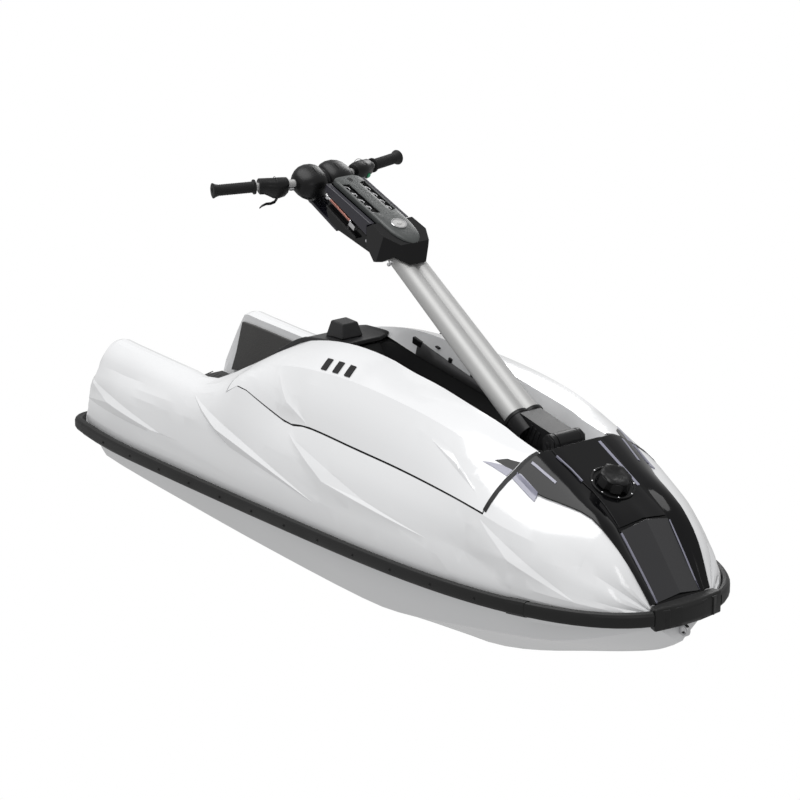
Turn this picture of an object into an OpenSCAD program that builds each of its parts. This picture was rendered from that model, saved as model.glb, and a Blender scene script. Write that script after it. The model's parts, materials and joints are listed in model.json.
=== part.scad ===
// Stand up personal watercraft. Millimetres, +X to the bow, +Y to port, +Z up.
// The origin is under the middle of the craft, on the flat keel pad it stands on.

/* [Hull and deck] */
// Overall length, stern rail to bow bumper
length = 2430; // [2100:10:2900]
// Beam over the rub rails
beam = 760; // [640:5:900]
// Thickness of the hull moulding
hull_wall = 8; // [6:0.5:10]
// Thickness of the deck and hood mouldings
deck_wall = 6; // [4:0.5:8]
// Gap round the engine hood
hood_gap = 5; // [3:0.5:8]
// Thickness of the foam mats
mat_thick = 10; // [6:1:16]

/* [Rub rail] */
// Depth of the rail, from its outer face to the deck
rail_depth = 26; // [20:1:34]
// Height of the rail
rail_height = 42; // [32:1:52]

/* [Handle pole] */
// Pole angle above level, as stored
pole_angle = 23.9; // [10:0.1:45]
// Pivot to steering stem
pole_reach = 1175; // [1000:5:1300]
// Radius of each lobe of the pole tube
lobe_r = 27; // [22:1:32]
// Distance of each lobe from the middle of the tube
lobe_y = 23; // [18:1:26]
// Tilt of the tube above the line from pivot to stem
tube_tilt = 7.3; // [0:0.1:9]
// Wall of the pole tube
pole_wall = 4; // [2.5:0.5:6]
// Radius of the pivot pin
pin_r = 10; // [7:0.5:13]

/* [Handlebar] */
// Half width over the grips
bar_half = 319; // [270:1:360]
// Radius of the bar tube
bar_r = 11.1; // [9:0.1:13]
// Radius of a grip
grip_r = 16; // [14:0.5:20]
// Radius of the steering stem
stem_r = 12; // [9:0.5:15]

/* [Jet pump] */
// Height of the pump's axis
pump_z = 92; // [88:1:94]
// Inside radius of the pump housing
pump_r = 72; // [60:1:74]
// Radius of the drive shaft
shaft_r = 11; // [8:0.5:14]
// Radius of the steering nozzle's outlet
outlet_r = 44; // [36:1:46]

/* [Engine] */
// Length of the engine block
engine_l = 380; // [300:10:420]
// Width of the engine block
engine_w = 280; // [220:10:320]
// Height of the engine block
engine_h = 240; // [180:10:280]

/* [Fuel filler] */
// Radius of the fuel cap
cap_r = 46; // [36:1:54]
// Radius of the filler neck
neck_r = 28; // [20:1:32]

/* [Tow eye] */
// Radius of the hole in the bow eye
eye_r = 9; // [6:0.5:11]

/* [Hidden] */
$fn = 48;

kx = length / 2430;
ky = beam / 760;
half_l = length / 2;
half_b = beam / 2;
seat = 0.3;
run = 0.05;
loose_seat = 1.2;

// ---- plan outline and sheer ----

stern_bend = -800 * kx;
corner_r = 45;
corner_x = -half_l + corner_r;
rail_seam_x = -1120 * kx;
bumper_half = 112 * ky;

function side_taper(x) = x > stern_bend ? 0 : 38 * ky * pow((stern_bend - x) / (400 * kx), 2.2);
function corner_cut(x) = x > corner_x ? 0
    : corner_r - sqrt(max(0, corner_r * corner_r - pow(corner_x - x, 2)));
function half_beam(x) = x > 0
    ? half_b * pow(max(0, 1 - pow(min(1, x / half_l), 3.2)), 0.4)
    : half_b - side_taper(x) - corner_cut(x);
inner_x = (half_l - rail_depth) / half_l;
inner_y = (half_b - rail_depth) / half_b;
function inner_beam(x) = inner_y * half_beam(x / inner_x);
function sheer(x) = let (u = x / half_l) 240 + 45 * u + 13 * u * u;

// ---- guide lines, each [x, half width, height] from stern to bow ----

wall_x = -449;
nose_x = 743.5;
stern_x = -(half_l - rail_depth) / kx;
bow_x = 1168;

tray_floor = [[[stern_x, 0, 262], [-452, 0, 262]],
    [[stern_x, 120, 262], [-452, 120, 262]],
    [[stern_x, 200, 262], [-452, 200, 262]]];
channel_floor = [
    [[-446, 0, 556], [-400, 0, 596], [-330, 0, 628], [-200, 0, 640], [-165, 0, 634],
        [-130, 0, 560], [-60, 0, 548], [300, 0, 538], [540, 0, 524], [600, 0, 520],
        [635, 0, 538], [660, 0, 540], [742, 0, 540]],
    [[-446, 70, 556], [-400, 70, 596], [-330, 70, 628], [-200, 70, 640], [-165, 70, 634],
        [-130, 70, 566], [-60, 70, 552], [300, 70, 540], [540, 70, 526], [600, 70, 522],
        [635, 70, 538], [660, 70, 540], [742, 70, 540]],
    [[-446, 92, 556], [-330, 92, 632], [-200, 92, 650], [-160, 92, 646], [-60, 92, 628],
        [150, 92, 602], [356, 92, 578], [560, 92, 560], [742, 92, 548]]];
nose_top = [
    [[745, 0, 609], [835, 0, 566], [925, 0, 523], [1010, 0, 484], [1020, 0, 476], [1168, 0, 306]],
    [[745, 42, 609], [835, 42, 566], [925, 42, 523], [1010, 42, 480], [1020, 41, 470],
        [1168, 37, 302]],
    [[745, 84, 609], [835, 84, 566], [925, 84, 523], [1010, 82, 476], [1020, 80, 464],
        [1168, 72, 298]]];
lip = [[stern_x, 212, 298], [-1080, 214, 474], [-1050, 214, 477], [-700, 215, 478],
    [-575, 214, 481], [-448, 160, 556], [-306, 114, 640], [-200, 110, 672], [-100, 110, 690],
    [0, 110, 698], [120, 110, 696], [200, 110, 686], [324, 110, 677], [452, 110, 660],
    [597, 110, 640], [665, 110, 622], [745, 112, 609], [835, 106, 568], [925, 98, 526],
    [1010, 92, 484], [1094, 86, 396], [1168, 78, 304]];
shoulder = [[stern_x, 238, 296], [-1080, 264, 474], [-1050, 264, 478], [-575, 262, 482],
    [-448, 252, 530], [-350, 245, 580], [-200, 240, 624], [0, 236, 650], [150, 232, 655],
    [354, 228, 648], [500, 222, 632], [600, 214, 612], [679, 203, 592], [745, 188, 572],
    [808, 188, 538], [880, 160, 522], [963, 136, 507], [1022, 130, 478], [1094, 119, 418],
    [1168, 96, 312]];
seam = [[stern_x, 250, 280], [-1095, 306, 400], [-900, 314, 418], [-700, 320, 436],
    [-557, 322, 450], [-429, 314, 486], [-359, 303, 535], [-230, 303, 514], [-105, 303, 491],
    [-20, 304, 505], [200, 304, 505], [400, 302, 503], [600, 300, 494], [738, 297, 482],
    [808, 283, 465], [900, 255, 445], [963, 230, 428], [1022, 202, 404], [1094, 165, 368],
    [1168, 101, 308]];
flank = [[stern_x, 262, 250], [-1095, 338, 330], [-557, 350, 368], [0, 350, 385],
    [400, 346, 392], [738, 326, 372], [963, 266, 350], [1094, 196, 328], [1168, 106, 303]];

// crown of the surface between one guide line and the next, and the steps it is cut into
crown = [0, 0, 0, 6, 9, 6, 7];
cuts = [1, 1, 2, 3, 4, 3, 3];
last_line = 7;

function mix(a, b, t) = a + (b - a) * t;
function span(line, x, i = 0) = i >= len(line) - 2 || x <= line[i + 1].x ? i
    : span(line, x, i + 1);
function slope(line, i) = let (a = line[max(0, i - 1)], b = line[min(len(line) - 1, i + 1)])
    (b - a) / (b.x - a.x);
// a smooth curve through a guide line's points, scaled to the craft's length and beam
function along(line, x) = let (u = x / kx, i = span(line, u), a = line[i], b = line[i + 1],
        h = b.x - a.x, t = min(1, max(0, (u - a.x) / h)),
        p = a * (1 + 2 * t) * pow(1 - t, 2) + b * (3 - 2 * t) * t * t
            + slope(line, i) * h * t * pow(1 - t, 2) - slope(line, i + 1) * h * t * t * (1 - t))
    [x, p.y * ky, p.z];

function deck_line(k, x) = k == 3 ? along(lip, x)
    : k == 4 ? along(shoulder, x)
    : k == 5 ? along(seam, x)
    : k == 6 ? along(flank, x)
    : k == 7 ? [x, inner_beam(x) - seat, sheer(x) + seat]
    : x < wall_x * kx ? along(tray_floor[k], x)
    : x < nose_x * kx ? along(channel_floor[k], x)
    : along(nose_top[k], x);
// guide lines stay in order where they crowd together at the bow
function ordered(k, x) = let (p = deck_line(k, x), room = inner_beam(x) - (last_line - k) * 5)
    k > 2 && k < 7 ? [p.x, min(p.y, room), p.z] : p;
// a point of the deck's outer surface, at station x and v guide lines from the middle
function deck_at(x, v, full = 1) = let (s = sign(v), w = abs(v), k = min(last_line - 1, floor(w)),
        t = w - k, a = ordered(k, x), b = ordered(k + 1, x), d = b - a,
        run_yz = max(1, norm([d.y, d.z])), c = full * crown[k] * 4 * t * (1 - t) / run_yz,
        p = mix(a, b, t) + [0, -d.z, d.y] * c)
    [p.x, s * p.y, p.z];

// ---- shells: a grid of points on the outer surface and its offset ----

function steps(a, b, n) = [for (i = [0:n]) mix(a, b, i / n)];
function unit(v) = v / max(0.001, norm(v));
function near(g, i, j) = g[min(len(g) - 1, max(0, i))][min(len(g[0]) - 1, max(0, j))];
function normal(g, i, j) = unit(cross(near(g, i + 1, j) - near(g, i - 1, j),
    near(g, i, j + 1) - near(g, i, j - 1)));
function lifted(g, h) = [for (i = [0:len(g) - 1]) [for (j = [0:len(g[0]) - 1])
    g[i][j] + normal(g, i, j) * h]];

function inside(on, ni, nj, i, j) = i >= 0 && j >= 0 && i < ni - 1 && j < nj - 1 && on(i, j);

// closes two grids of the same size into one solid, over the cells where on(i, j) holds
module shell(top, under, on = function(i, j) true) {
    ni = len(top);
    nj = len(top[0]);
    n = ni * nj;
    function at(i, j) = i * nj + j;
    cells = [for (i = [0:ni - 2]) for (j = [0:nj - 2]) if (on(i, j)) [i, j]];
    skin = [for (c = cells) let (a = at(c[0], c[1]), b = at(c[0] + 1, c[1]),
            d = at(c[0], c[1] + 1), e = at(c[0] + 1, c[1] + 1), port = c[1] >= (nj - 1) / 2)
        each port ? [[a, d, e], [a, e, b], [a + n, e + n, d + n], [a + n, b + n, e + n]]
            : [[a, d, b], [d, e, b], [a + n, b + n, d + n], [d + n, b + n, e + n]]];
    edges = [for (c = cells) let (i = c[0], j = c[1]) each [
        if (!inside(on, ni, nj, i - 1, j)) [at(i, j + 1), at(i, j)],
        if (!inside(on, ni, nj, i + 1, j)) [at(i + 1, j), at(i + 1, j + 1)],
        if (!inside(on, ni, nj, i, j - 1)) [at(i, j), at(i + 1, j)],
        if (!inside(on, ni, nj, i, j + 1)) [at(i + 1, j + 1), at(i, j + 1)]]];
    sides = [for (e = edges) each [[e[0], e[1], e[1] + n], [e[0], e[1] + n, e[0] + n]]];
    points = [for (row = top) each row, for (row = under) each row];
    polyhedron(points, concat(skin, sides));
}

// a layer over the deck's surface, from lift low to lift high above it
module layer(xs, vs, low, high, on = function(i, j) true) {
    g = [for (x = xs) [for (v = vs) deck_at(x, v)]];
    shell(lifted(g, high), lifted(g, low), on);
}

function order(list, s) = s > 0 ? list : [for (i = [len(list) - 1:-1:0]) list[i]];
// guide line numbers on one side of the craft, in rising order
function on_side(vs, s) = order([for (v = vs) s * v], s);
function mirrored(vs) = concat([for (i = [len(vs) - 1:-1:0]) if (vs[i] > 0) -vs[i]], vs);
function cut_lines(from, to) = [for (k = [0:last_line - 1]) for (s = [0:cuts[k] - 1])
    let (v = k + s / cuts[k]) if (v >= from && v < to) v, to];

// ---- hull ----

keel = [[-1188, 0, 180], [-640, 0, 180], [-560, 0, 165], [-420, 0, 60], [-345, 0, 6],
    [-325, 0, 0], [-200, 0, 0], [450, 0, 0], [576, 0, 8], [700, 0, 35], [865, 0, 85],
    [1020, 0, 133], [1118, 0, 170], [1168, 0, 203]];
tunnel = [for (p = keel) [p.x, p.x > 450 ? pad_half(p.x) - 4 : 93, p.z]];
function pad_half(x) = x < 450 ? 97 : 97 - 83 * (x - 450) / 718;
pad = [[-1188, 97, 0], [-200, 97, 0], [450, 97, 0], [576, pad_half(576), 9],
    [700, pad_half(700), 37], [865, pad_half(865), 88], [1020, pad_half(1020), 137],
    [1118, pad_half(1118), 175], [1168, pad_half(1168), 208]];
chine = [[-1188, 258, 112], [-1100, 276, 106], [-601, 284, 91], [-203, 284, 80],
    [209, 284, 77], [373, 284, 89], [670, 270, 142], [800, 250, 162], [943, 222, 186],
    [1040, 180, 214], [1110, 130, 238], [1168, 76, 258]];
strake = [[-1188, 272, 160], [-1000, 318, 176], [-377, 330, 178], [-65, 330, 170],
    [188, 330, 158], [450, 322, 176], [670, 300, 198], [865, 258, 222], [1000, 214, 240],
    [1094, 160, 258], [1168, 90, 275]];
hull_lines = [keel, tunnel, pad, chine, strake];
hull_cuts = [1, 1, 3, 2, 2];
transom_rake = 38 * kx;

function hull_line(k, x) = k == 5 ? [x, inner_beam(x) - seat, sheer(x) - seat]
    : let (p = along(hull_lines[k], x))
        [x, min(p.y, inner_beam(x) - (5 - k) * 7), max(0, p.z)];
function hull_at(x, v) = let (s = sign(v), w = abs(v), k = min(4, floor(w)),
        p = mix(hull_line(k, x), hull_line(k + 1, x), w - k))
    [p.x, s * p.y, p.z];
function raked(p) = p + [transom_rake * (1 - p.z / sheer(p.x)), 0, 0];
function rim(p, x) = [p.x, p.y * 0.985, sheer(x) - seat];

module hull_shell() color("whitesmoke") {
    vs = mirrored([for (k = [0:4]) for (s = [0:hull_cuts[k] - 1]) k + s / hull_cuts[k], 5]);
    stern = stern_x * kx + 0.5;
    xs = concat([stern], [-1120, -1020, -900, -780, -700, -640, -600, -560, -515, -470, -420,
        -380, -345, -325, -200, -60, 80, 209, 300, 373, 450, 515, 576, 640, 700, 760, 820,
        865, 905, 943, 985, 1020, 1055, 1085, 1110, 1130, 1150, 1168] * kx);
    body = [for (x = xs) [for (v = vs) x == stern ? raked(hull_at(x, v)) : hull_at(x, v)]];
    g = concat([[for (p = body[0]) rim([stern, p.y, p.z], stern)]], body,
        [[for (p = body[len(body) - 1]) rim(p, p.x)]]);
    last = len(g) - 1;
    side = len(vs) - 1;
    inner = [for (i = [0:last]) [for (j = [0:side])
        let (edge = j == 0 ? [0, 1, 0] : j == side ? [0, -1, 0] : [0, 0, 0],
             corner = norm(edge) > 0,
             d = i == 0 || (i == 1 && corner) ? [1, 0, 0] + edge * 0.4
                 : i == last || (i == last - 1 && corner) ? [-1, 0, 0] + edge * 0.4
                 : corner ? edge : normal(g, i, j))
        g[i][j] + d * hull_wall]];
    shell(inner, g);
}

// ---- deck, hood and their panels ----

hatch_from = -404 * kx;
hatch_to = 742 * kx;
saddle_x = 640 * kx;

module deck() color("white") {
    stern = stern_x * kx + 0.5;
    vs = mirrored(cut_lines(0, 7));
    xs = concat([stern, stern + 3], [-1155, -1120, -1095, -1080, -1060] * kx,
        steps(-1000, -500, 8) * kx, [-470, -460, -452, -446, -425] * kx,
        steps(hatch_from, hatch_to, 25), [745 * kx], steps(775, 1010, 7) * kx,
        [1020, 1045, 1070, 1094, 1115, 1135, 1152, 1168] * kx);
    g = concat([[for (v = vs) let (p = deck_at(stern, v, 0)) [p.x, p.y * 0.985, sheer(p.x) + seat]]],
        [for (i = [1:len(xs) - 1]) [for (v = vs) deck_at(xs[i], v)]]);
    side = len(vs) - 1;
    inner = [for (i = [0:len(xs) - 1]) [for (j = [0:side])
        let (inward = j == 0 ? [0, 1, 0] : j == side ? [0, -1, 0] : [0, 0, 0],
             d = i == 0 || (i == 1 && norm(inward) > 0) ? [1, 0, 0] + inward * 0.4
                 : norm(inward) > 0 ? inward : -normal(g, i, j))
        g[i][j] + d * deck_wall]];
    shell(g, inner, function(i, j) let (x = (xs[i] + xs[i + 1]) / 2,
        v = abs(vs[j] + vs[j + 1]) / 2) v > 5 || x < hatch_from || x > hatch_to
            || (v < 2 && x > saddle_x));
}

// one gap's width, counted in guide lines, beside the seam and beside the channel
seam_v = 5 - hood_gap / 150;
channel_v = 2 + hood_gap / 80;

module engine_hood() color("white") {
    vs = concat([channel_v], [for (v = cut_lines(2, 5)) if (v > 2.2 && v < 4.9) v], [seam_v]);
    xs = steps(hatch_from + hood_gap, hatch_to - hood_gap, 26);
    for (s = [-1, 1])
        layer(xs, on_side(vs, s), -deck_wall, 0);
}

module hood_channel() color("black") {
    vs = mirrored([0, 1, 2, channel_v + 0.3]);
    xs = steps(hatch_from + hood_gap, saddle_x - hood_gap, 24);
    layer(xs, vs, -deck_wall - loose_seat - 5, -deck_wall - loose_seat - 0.6);
}

module hood_seal() color("black") {
    low = -deck_wall - loose_seat - 5;
    high = -deck_wall - loose_seat - 0.5;
    for (s = [-1, 1]) {
        layer(steps(hatch_from + 20, hatch_to - 20, 24), on_side([4.78, 4.9, 5, 5.12], s),
            low, high);
        layer([hatch_to - 14, hatch_to, hatch_to + 8], on_side([3.1:0.3:4.9], s), low, high);
    }
}

module hood_vents() color("black") {
    for (s = [-1, 1]) for (k = [0:2])
        slot(s, (-70 + 52 * k) * kx);
}
module slot(s, x0) {
    g = [for (x = [x0, x0 + 24]) [for (v = on_side([3.62, 3.78, 3.94], s))
        deck_at(x + 18 * (abs(v) - 3.62) / 0.32, v)]];
    shell(lifted(g, 3), lifted(g, seat));
}

pad_thick = 14;
module chin_pad() color("dimgray") {
    vs = mirrored([0, 1, 2, 2.5]);
    xs = [-444, -425, -404, -380, -350, -320, -280, -240, -205, -180] * kx;
    layer(xs, vs, loose_seat, pad_thick);
}

module pole_rest() color("black") {
    xs = [-318, -280, -240, -200] * kx;
    vs = mirrored([0, 0.75]);
    g = [for (x = xs) [for (v = vs) deck_at(x, v)]];
    base = lifted(g, pad_thick + seat);
    crest = [for (i = [0:3]) [for (p = base[i])
        [mix(p.x, -256 * kx, 0.3), p.y * 0.7, 704]]];
    shell(crest, base);
}

panel_thick = 6;
module nose_panel() color([0.05, 0.05, 0.06]) {
    vs = mirrored([0, 1, 2, 3, 3.34, 3.67, 4]);
    xs = concat([748], steps(775, 1010, 7), [1020, 1045, 1070, 1094, 1115, 1135, 1150, 1162])
        * kx;
    layer(xs, vs, seat, panel_thick);
}

module nose_strip() color([0.2, 0.2, 0.21]) {
    layer([1020, 1045, 1070, 1094, 1115, 1135, 1150, 1157] * kx, mirrored([0, 1, 1.9]),
        panel_thick + seat, panel_thick + 4);
}

module tray_mat() color([0.08, 0.08, 0.08]) {
    layer(concat([-1180], steps(-1100, -480, 6)) * kx, mirrored([0, 1, 1.92]), seat,
        mat_thick);
}
module side_mat(s) color([0.25, 0.25, 0.25]) {
    rake = 70 * kx;
    front = concat([-1130, -1065], steps(-1000, -562.5, 7)) * kx;
    g = [for (i = [0:len(front) - 1]) [for (v = on_side([2.18, 2.5, 2.9], s))
        deck_at(front[i] + rake * (abs(v) - 2.18) * max(0, 1 - i / 5), v)]];
    shell(lifted(g, mat_thick), lifted(g, loose_seat + 0.8));
}
module side_mat_starboard() side_mat(-1);
module side_mat_port() side_mat(1);

// ---- rub rail ----

// outline of the rail's outer face, from the bumper round to the stern
bow_turn = sqrt(1 - pow(1 - pow(bumper_half / half_b, 2.5), 1 / 3.2));
side_route = concat([for (t = steps(bow_turn, 1, 22)) half_l * (1 - t * t)],
    steps(-90 * kx, rail_seam_x, 11));
corner_route = concat([rail_seam_x - 1], steps(rail_seam_x - 20, corner_x, 2),
    [for (a = [20:20:80]) corner_x - corner_r * sin(a)]);

// the rail's section: shares of its depth from the deck, and heights from the sheer
function rail_ring(p, s, grow) = let (q = [p.x * inner_x, p.y * inner_y],
        h = rail_height / 2 + grow, z = sheer(p.x))
    [for (c = [[0.06, -h + 2], [0.6, -h], [0.86, -h + 3], [1, -h + 10], [1, h - 10],
        [0.86, h - 3], [0.6, h], [0.3, h - 2], [0.06, 4]])
        let (f = c[0] + (c[0] > 0.5 ? grow / rail_depth : 0))
        [mix(q.x, p.x, f), s * mix(q.y, p.y, f), z + c[1]]];

// a closed bar through rings of the same number of points
module bar_through(rings) {
    n = len(rings[0]);
    m = len(rings);
    walls = [for (i = [0:m - 2]) for (j = [0:n - 1])
        let (a = i * n + j, b = i * n + (j + 1) % n) each [[a, a + n, b], [b, a + n, b + n]]];
    ends = [for (j = [1:n - 2]) each [[0, j, j + 1], [(m - 1) * n, (m - 1) * n + j + 1,
        (m - 1) * n + j]]];
    polyhedron([for (r = rings) each r], concat(walls, ends));
}

module rub_rail(s) color([0.12, 0.12, 0.12])
    bar_through(order([for (x = side_route) rail_ring([x, half_beam(x)], s, 0)], s));
module rub_rail_starboard() rub_rail(-1);
module rub_rail_port() rub_rail(1);

module stern_cap(s) color([0.1, 0.1, 0.1]) {
    outline = concat([for (x = corner_route) [x, half_beam(x)]],
        [for (y = steps(half_beam(-half_l) - 4, 206 * ky, 3)) [-half_l, y]]);
    bar_through(order([for (p = outline) rail_ring(p, s, -0.5)], s));
}
module stern_cap_starboard() stern_cap(-1);
module stern_cap_port() stern_cap(1);

bumper_x = (bow_x + 2) * kx;
rail_end = half_l * (1 - bow_turn * bow_turn);
// the bumper's outline, closing against the ends of both rails
module bumper_slice(grow, z0, z1) translate([0, 0, z0]) linear_extrude(height = z1 - z0)
    polygon([for (s = [1, -1]) each order([[bumper_x, s * (bumper_half * inner_y - 1)],
        [rail_end, s * (bumper_half - 1)],
        [half_l - 10 + grow, s * (bumper_half * 0.8 + grow / 2)],
        [half_l - 1 + grow, s * bumper_half * 0.3]], s)]);
module bow_bumper() color([0.1, 0.1, 0.1]) {
    z = sheer(half_l);
    bumper_slice(0, z - 20, z + 16);
    hull() {
        bumper_slice(0, z + 16, z + 17);
        bumper_slice(-9, z + 26, z + 27);
    }
    hull() {
        bumper_slice(0, z - 21, z - 20);
        bumper_slice(-7, z - 33, z - 32);
    }
}

module bow_eye() color("silver") {
    x = bumper_x + 16;
    z = sheer(half_l) - 58;
    translate([0, 5, 0]) rotate([90, 0, 0]) difference() {
        linear_extrude(height = 10) union() {
            translate([x, z]) circle(r = eye_r + 7);
            translate([bumper_x - 1.7, z - 14]) square([16, 28]);
        }
        translate([x, z, -1]) cylinder(r = eye_r, h = 12);
    }
}

// ---- jet pump ----

ride_split = -602 * kx;
floor_half = 96.2 * ky;
module ride_plate() color("silver") {
    x0 = -1148 * kx;
    translate([x0, -floor_half, 0]) cube([ride_split - x0, 2 * floor_half, 8]);
}
module intake_grate() color("silver") {
    x0 = ride_split + 1;
    l = -378 * kx - x0;
    difference() {
        translate([x0, -floor_half, 0]) cube([l, 2 * floor_half, 8]);
        for (k = [-2:2])
            translate([x0 + 16, k * floor_half * 0.37 - floor_half * 0.13, -1])
                cube([l - 32, floor_half * 0.26, 10]);
    }
}

flange_x = -758 * kx;
stator_x = -1010 * kx;
cone_x = -1106 * kx;
housing_r = pump_r + 6;
lug_z = outlet_r + 28;
module pump_axis(x) translate([x, 0, pump_z]) rotate([0, -90, 0]) children();
module pump_housing() color("silver") {
    body_l = flange_x - 12 - stator_x;
    cone_l = stator_x - cone_x;
    difference() {
        union() {
            translate([flange_x - 12, -92.6 * ky, 9]) cube([12, 185.2 * ky, 180 - seat - 9]);
            pump_axis(flange_x - 12) cylinder(r = housing_r, h = body_l);
            pump_axis(stator_x) cylinder(r1 = housing_r, r2 = outlet_r + 4, h = cone_l);
            for (s = [-1, 1])
                translate([cone_x - 20, -13, pump_z + s * lug_z - 4]) cube([84, 26, 8]);
        }
        pump_axis(flange_x + 1) cylinder(r = pump_r, h = body_l + 13);
        pump_axis(stator_x) cylinder(r1 = pump_r, r2 = outlet_r - 2, h = cone_l + 0.01);
        for (s = [-1, 1])
            translate([nozzle_x, 0, pump_z + s * lug_z - 6]) cylinder(r = 5 + run, h = 12);
    }
    difference() {
        union() {
            pump_axis(stator_x + 70) cylinder(r = 28, h = 70);
            for (a = [0:60:300])
                pump_axis(stator_x + 65) rotate([0, 0, a]) translate([24, -2, 0])
                    cube([pump_r - 22, 4, 55]);
        }
        pump_axis(stator_x + 71) cylinder(r = shaft_r - 2 + run, h = 62);
    }
}

module impeller() color("gainsboro") {
    x = stator_x + 150;
    difference() {
        union() {
            pump_axis(x) cylinder(r = 27, h = 70);
            intersection() {
                for (a = [0:120:240])
                    pump_axis(x) rotate([0, 0, a]) translate([48, 0, 35]) rotate([42, 0, 0])
                        cube([60, 4, 84], center = true);
                pump_axis(x - 4) cylinder(r = pump_r - 1.5, h = 62);
            }
        }
        pump_axis(x + 1) cylinder(r = shaft_r + run, h = 72);
    }
}
module drive_shaft() color("silver") {
    front = -486 * kx;
    tail = stator_x + 76;
    pump_axis(front) cylinder(r = shaft_r, h = front - tail);
    pump_axis(tail) cylinder(r = shaft_r - 2, h = 60);
}

nozzle_x = cone_x - 6;
module steering_nozzle() color("silver") {
    front_r = outlet_r + 14;
    l = 92 * kx;
    pump_axis(nozzle_x - 6) difference() {
        cylinder(r1 = front_r + 5, r2 = outlet_r + 5, h = l);
        translate([0, 0, -0.01]) cylinder(r1 = front_r, r2 = outlet_r, h = l + 0.02);
    }
    for (s = [-1, 1]) translate([nozzle_x, 0, pump_z + s * (lug_z - 0.5)]) {
        translate([0, 0, -8.5]) cylinder(r = 5, h = 17);
        translate([-26, -6, s > 0 ? -13 : 5]) cube([31, 12, 8]);
    }
}

module engine_block() color("dimgray") {
    x = 20 * kx;
    translate([x - engine_l / 2, -engine_w / 2, 72]) cube([engine_l, engine_w, engine_h]);
    for (s = [-1, 1])
        translate([x - engine_l / 2 + 20, s * 52 - 18, hull_wall + seat])
            cube([engine_l - 40, 36, 72 - hull_wall - seat]);
}

// ---- fuel filler ----

filler_x = 895 * kx;
filler_slope = atan2(43, 90 * kx);
module on_nose(lift) translate(deck_at(filler_x, 0)) rotate([0, filler_slope, 0])
    translate([0, 0, lift]) children();
module fuel_neck() color("black") on_nose(panel_thick + loose_seat) {
    difference() {
        cylinder(r = cap_r + 14, h = 8);
        translate([0, 0, 3]) cylinder(r = cap_r + 8, h = 6);
    }
    cylinder(r = neck_r, h = 18);
}
module fuel_cap() color("black") on_nose(panel_thick + loose_seat) {
    difference() {
        translate([0, 0, 8]) cylinder(r1 = cap_r, r2 = cap_r - 6, h = 24);
        translate([0, 0, 7]) cylinder(r = neck_r + 0.5, h = 12);
        for (a = [0:60:300])
            rotate([0, 0, a]) translate([cap_r + 4, 0, 7]) cylinder(r = 11, h = 27);
    }
}

// ---- handle pole, in its own frame: X up the pole, Z square to it ----

pivot = [705 * kx, 0, 605];
head_end = pole_reach - 94;
collar = head_end - 341;
// the tube's axis crosses the collar's mouth at this point, where its own length is counted from
tube_start = [collar + 6, 0, 29];
tube_low = -621;
tube_high = 110;
boot_high = -589;
module pole_frame() translate(pivot) rotate([0, -pole_angle, 180]) children();
module along_tube(x0, x1) translate(tube_start) rotate([0, -tube_tilt, 0])
    translate([x0, 0, 0]) rotate([90, 0, 90]) linear_extrude(height = x1 - x0) children();
// the tube's two lobes and the web between them
module lobes(grow = 0) {
    for (s = [-1, 1]) translate([s * lobe_y, 0]) circle(r = lobe_r + grow);
    square([2 * lobe_y, 2 * (lobe_r + grow) - 20], center = true);
}
// an outline in the pole's side view, as wide as w
module side_plate(w, y = 0) translate([0, y + w / 2, 0]) rotate([90, 0, 0])
    linear_extrude(height = w) children();
module cross_pin(x, h, r, w) translate([x, w / 2, h]) rotate([90, 0, 0])
    cylinder(r = r, h = w);

knuckle_r = 28;
knuckle_w = 70;
module pole_mount() color([0.1, 0.1, 0.1]) {
    w = knuckle_w / 2 + 1;
    floor_z = deck_at(pivot.x - 45, 1).z + seat;
    difference() {
        union() {
            for (s = [-1, 1]) translate([0, s * (w + 7), 0]) {
                translate([pivot.x, 7, pivot.z]) rotate([90, 0, 0])
                    cylinder(r = knuckle_r, h = 14);
                translate([pivot.x - knuckle_r, -7, floor_z + 2])
                    cube([2 * knuckle_r, 14, pivot.z - floor_z - 2]);
            }
            translate([pivot.x - 45, -w - 20, floor_z]) cube([80, 2 * w + 40, 10]);
        }
        translate([pivot.x, w + 15, pivot.z]) rotate([90, 0, 0])
            cylinder(r = pin_r + run, h = 2 * w + 30);
    }
}
module pivot_pin() color("silver") translate([pivot.x, knuckle_w / 2 + 17, pivot.z])
    rotate([90, 0, 0]) cylinder(r = pin_r, h = knuckle_w + 34);

module pole_foot() color([0.08, 0.08, 0.08]) pole_frame() difference() {
    union() {
        cross_pin(0, 0, knuckle_r, knuckle_w);
        side_plate(knuckle_w) polygon([[-4, -knuckle_r + 2], [60, -64], [112, -86], [145, -79],
            [145, -12], [70, 6], [-4, knuckle_r - 2]]);
        along_tube(tube_low - 29, boot_high) lobes(8);
    }
    cross_pin(0, 0, pin_r + run, knuckle_w + 2);
    along_tube(tube_low, boot_high + 1) lobes(seat);
}
module pole_tube() color("silver") pole_frame() difference() {
    along_tube(tube_low + seat, tube_high) lobes();
    along_tube(tube_low, tube_high + 1) difference() {
        for (s = [-1, 1]) translate([s * lobe_y, 0]) circle(r = lobe_r - pole_wall);
        square([pole_wall, 2 * lobe_r], center = true);
    }
}

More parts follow.
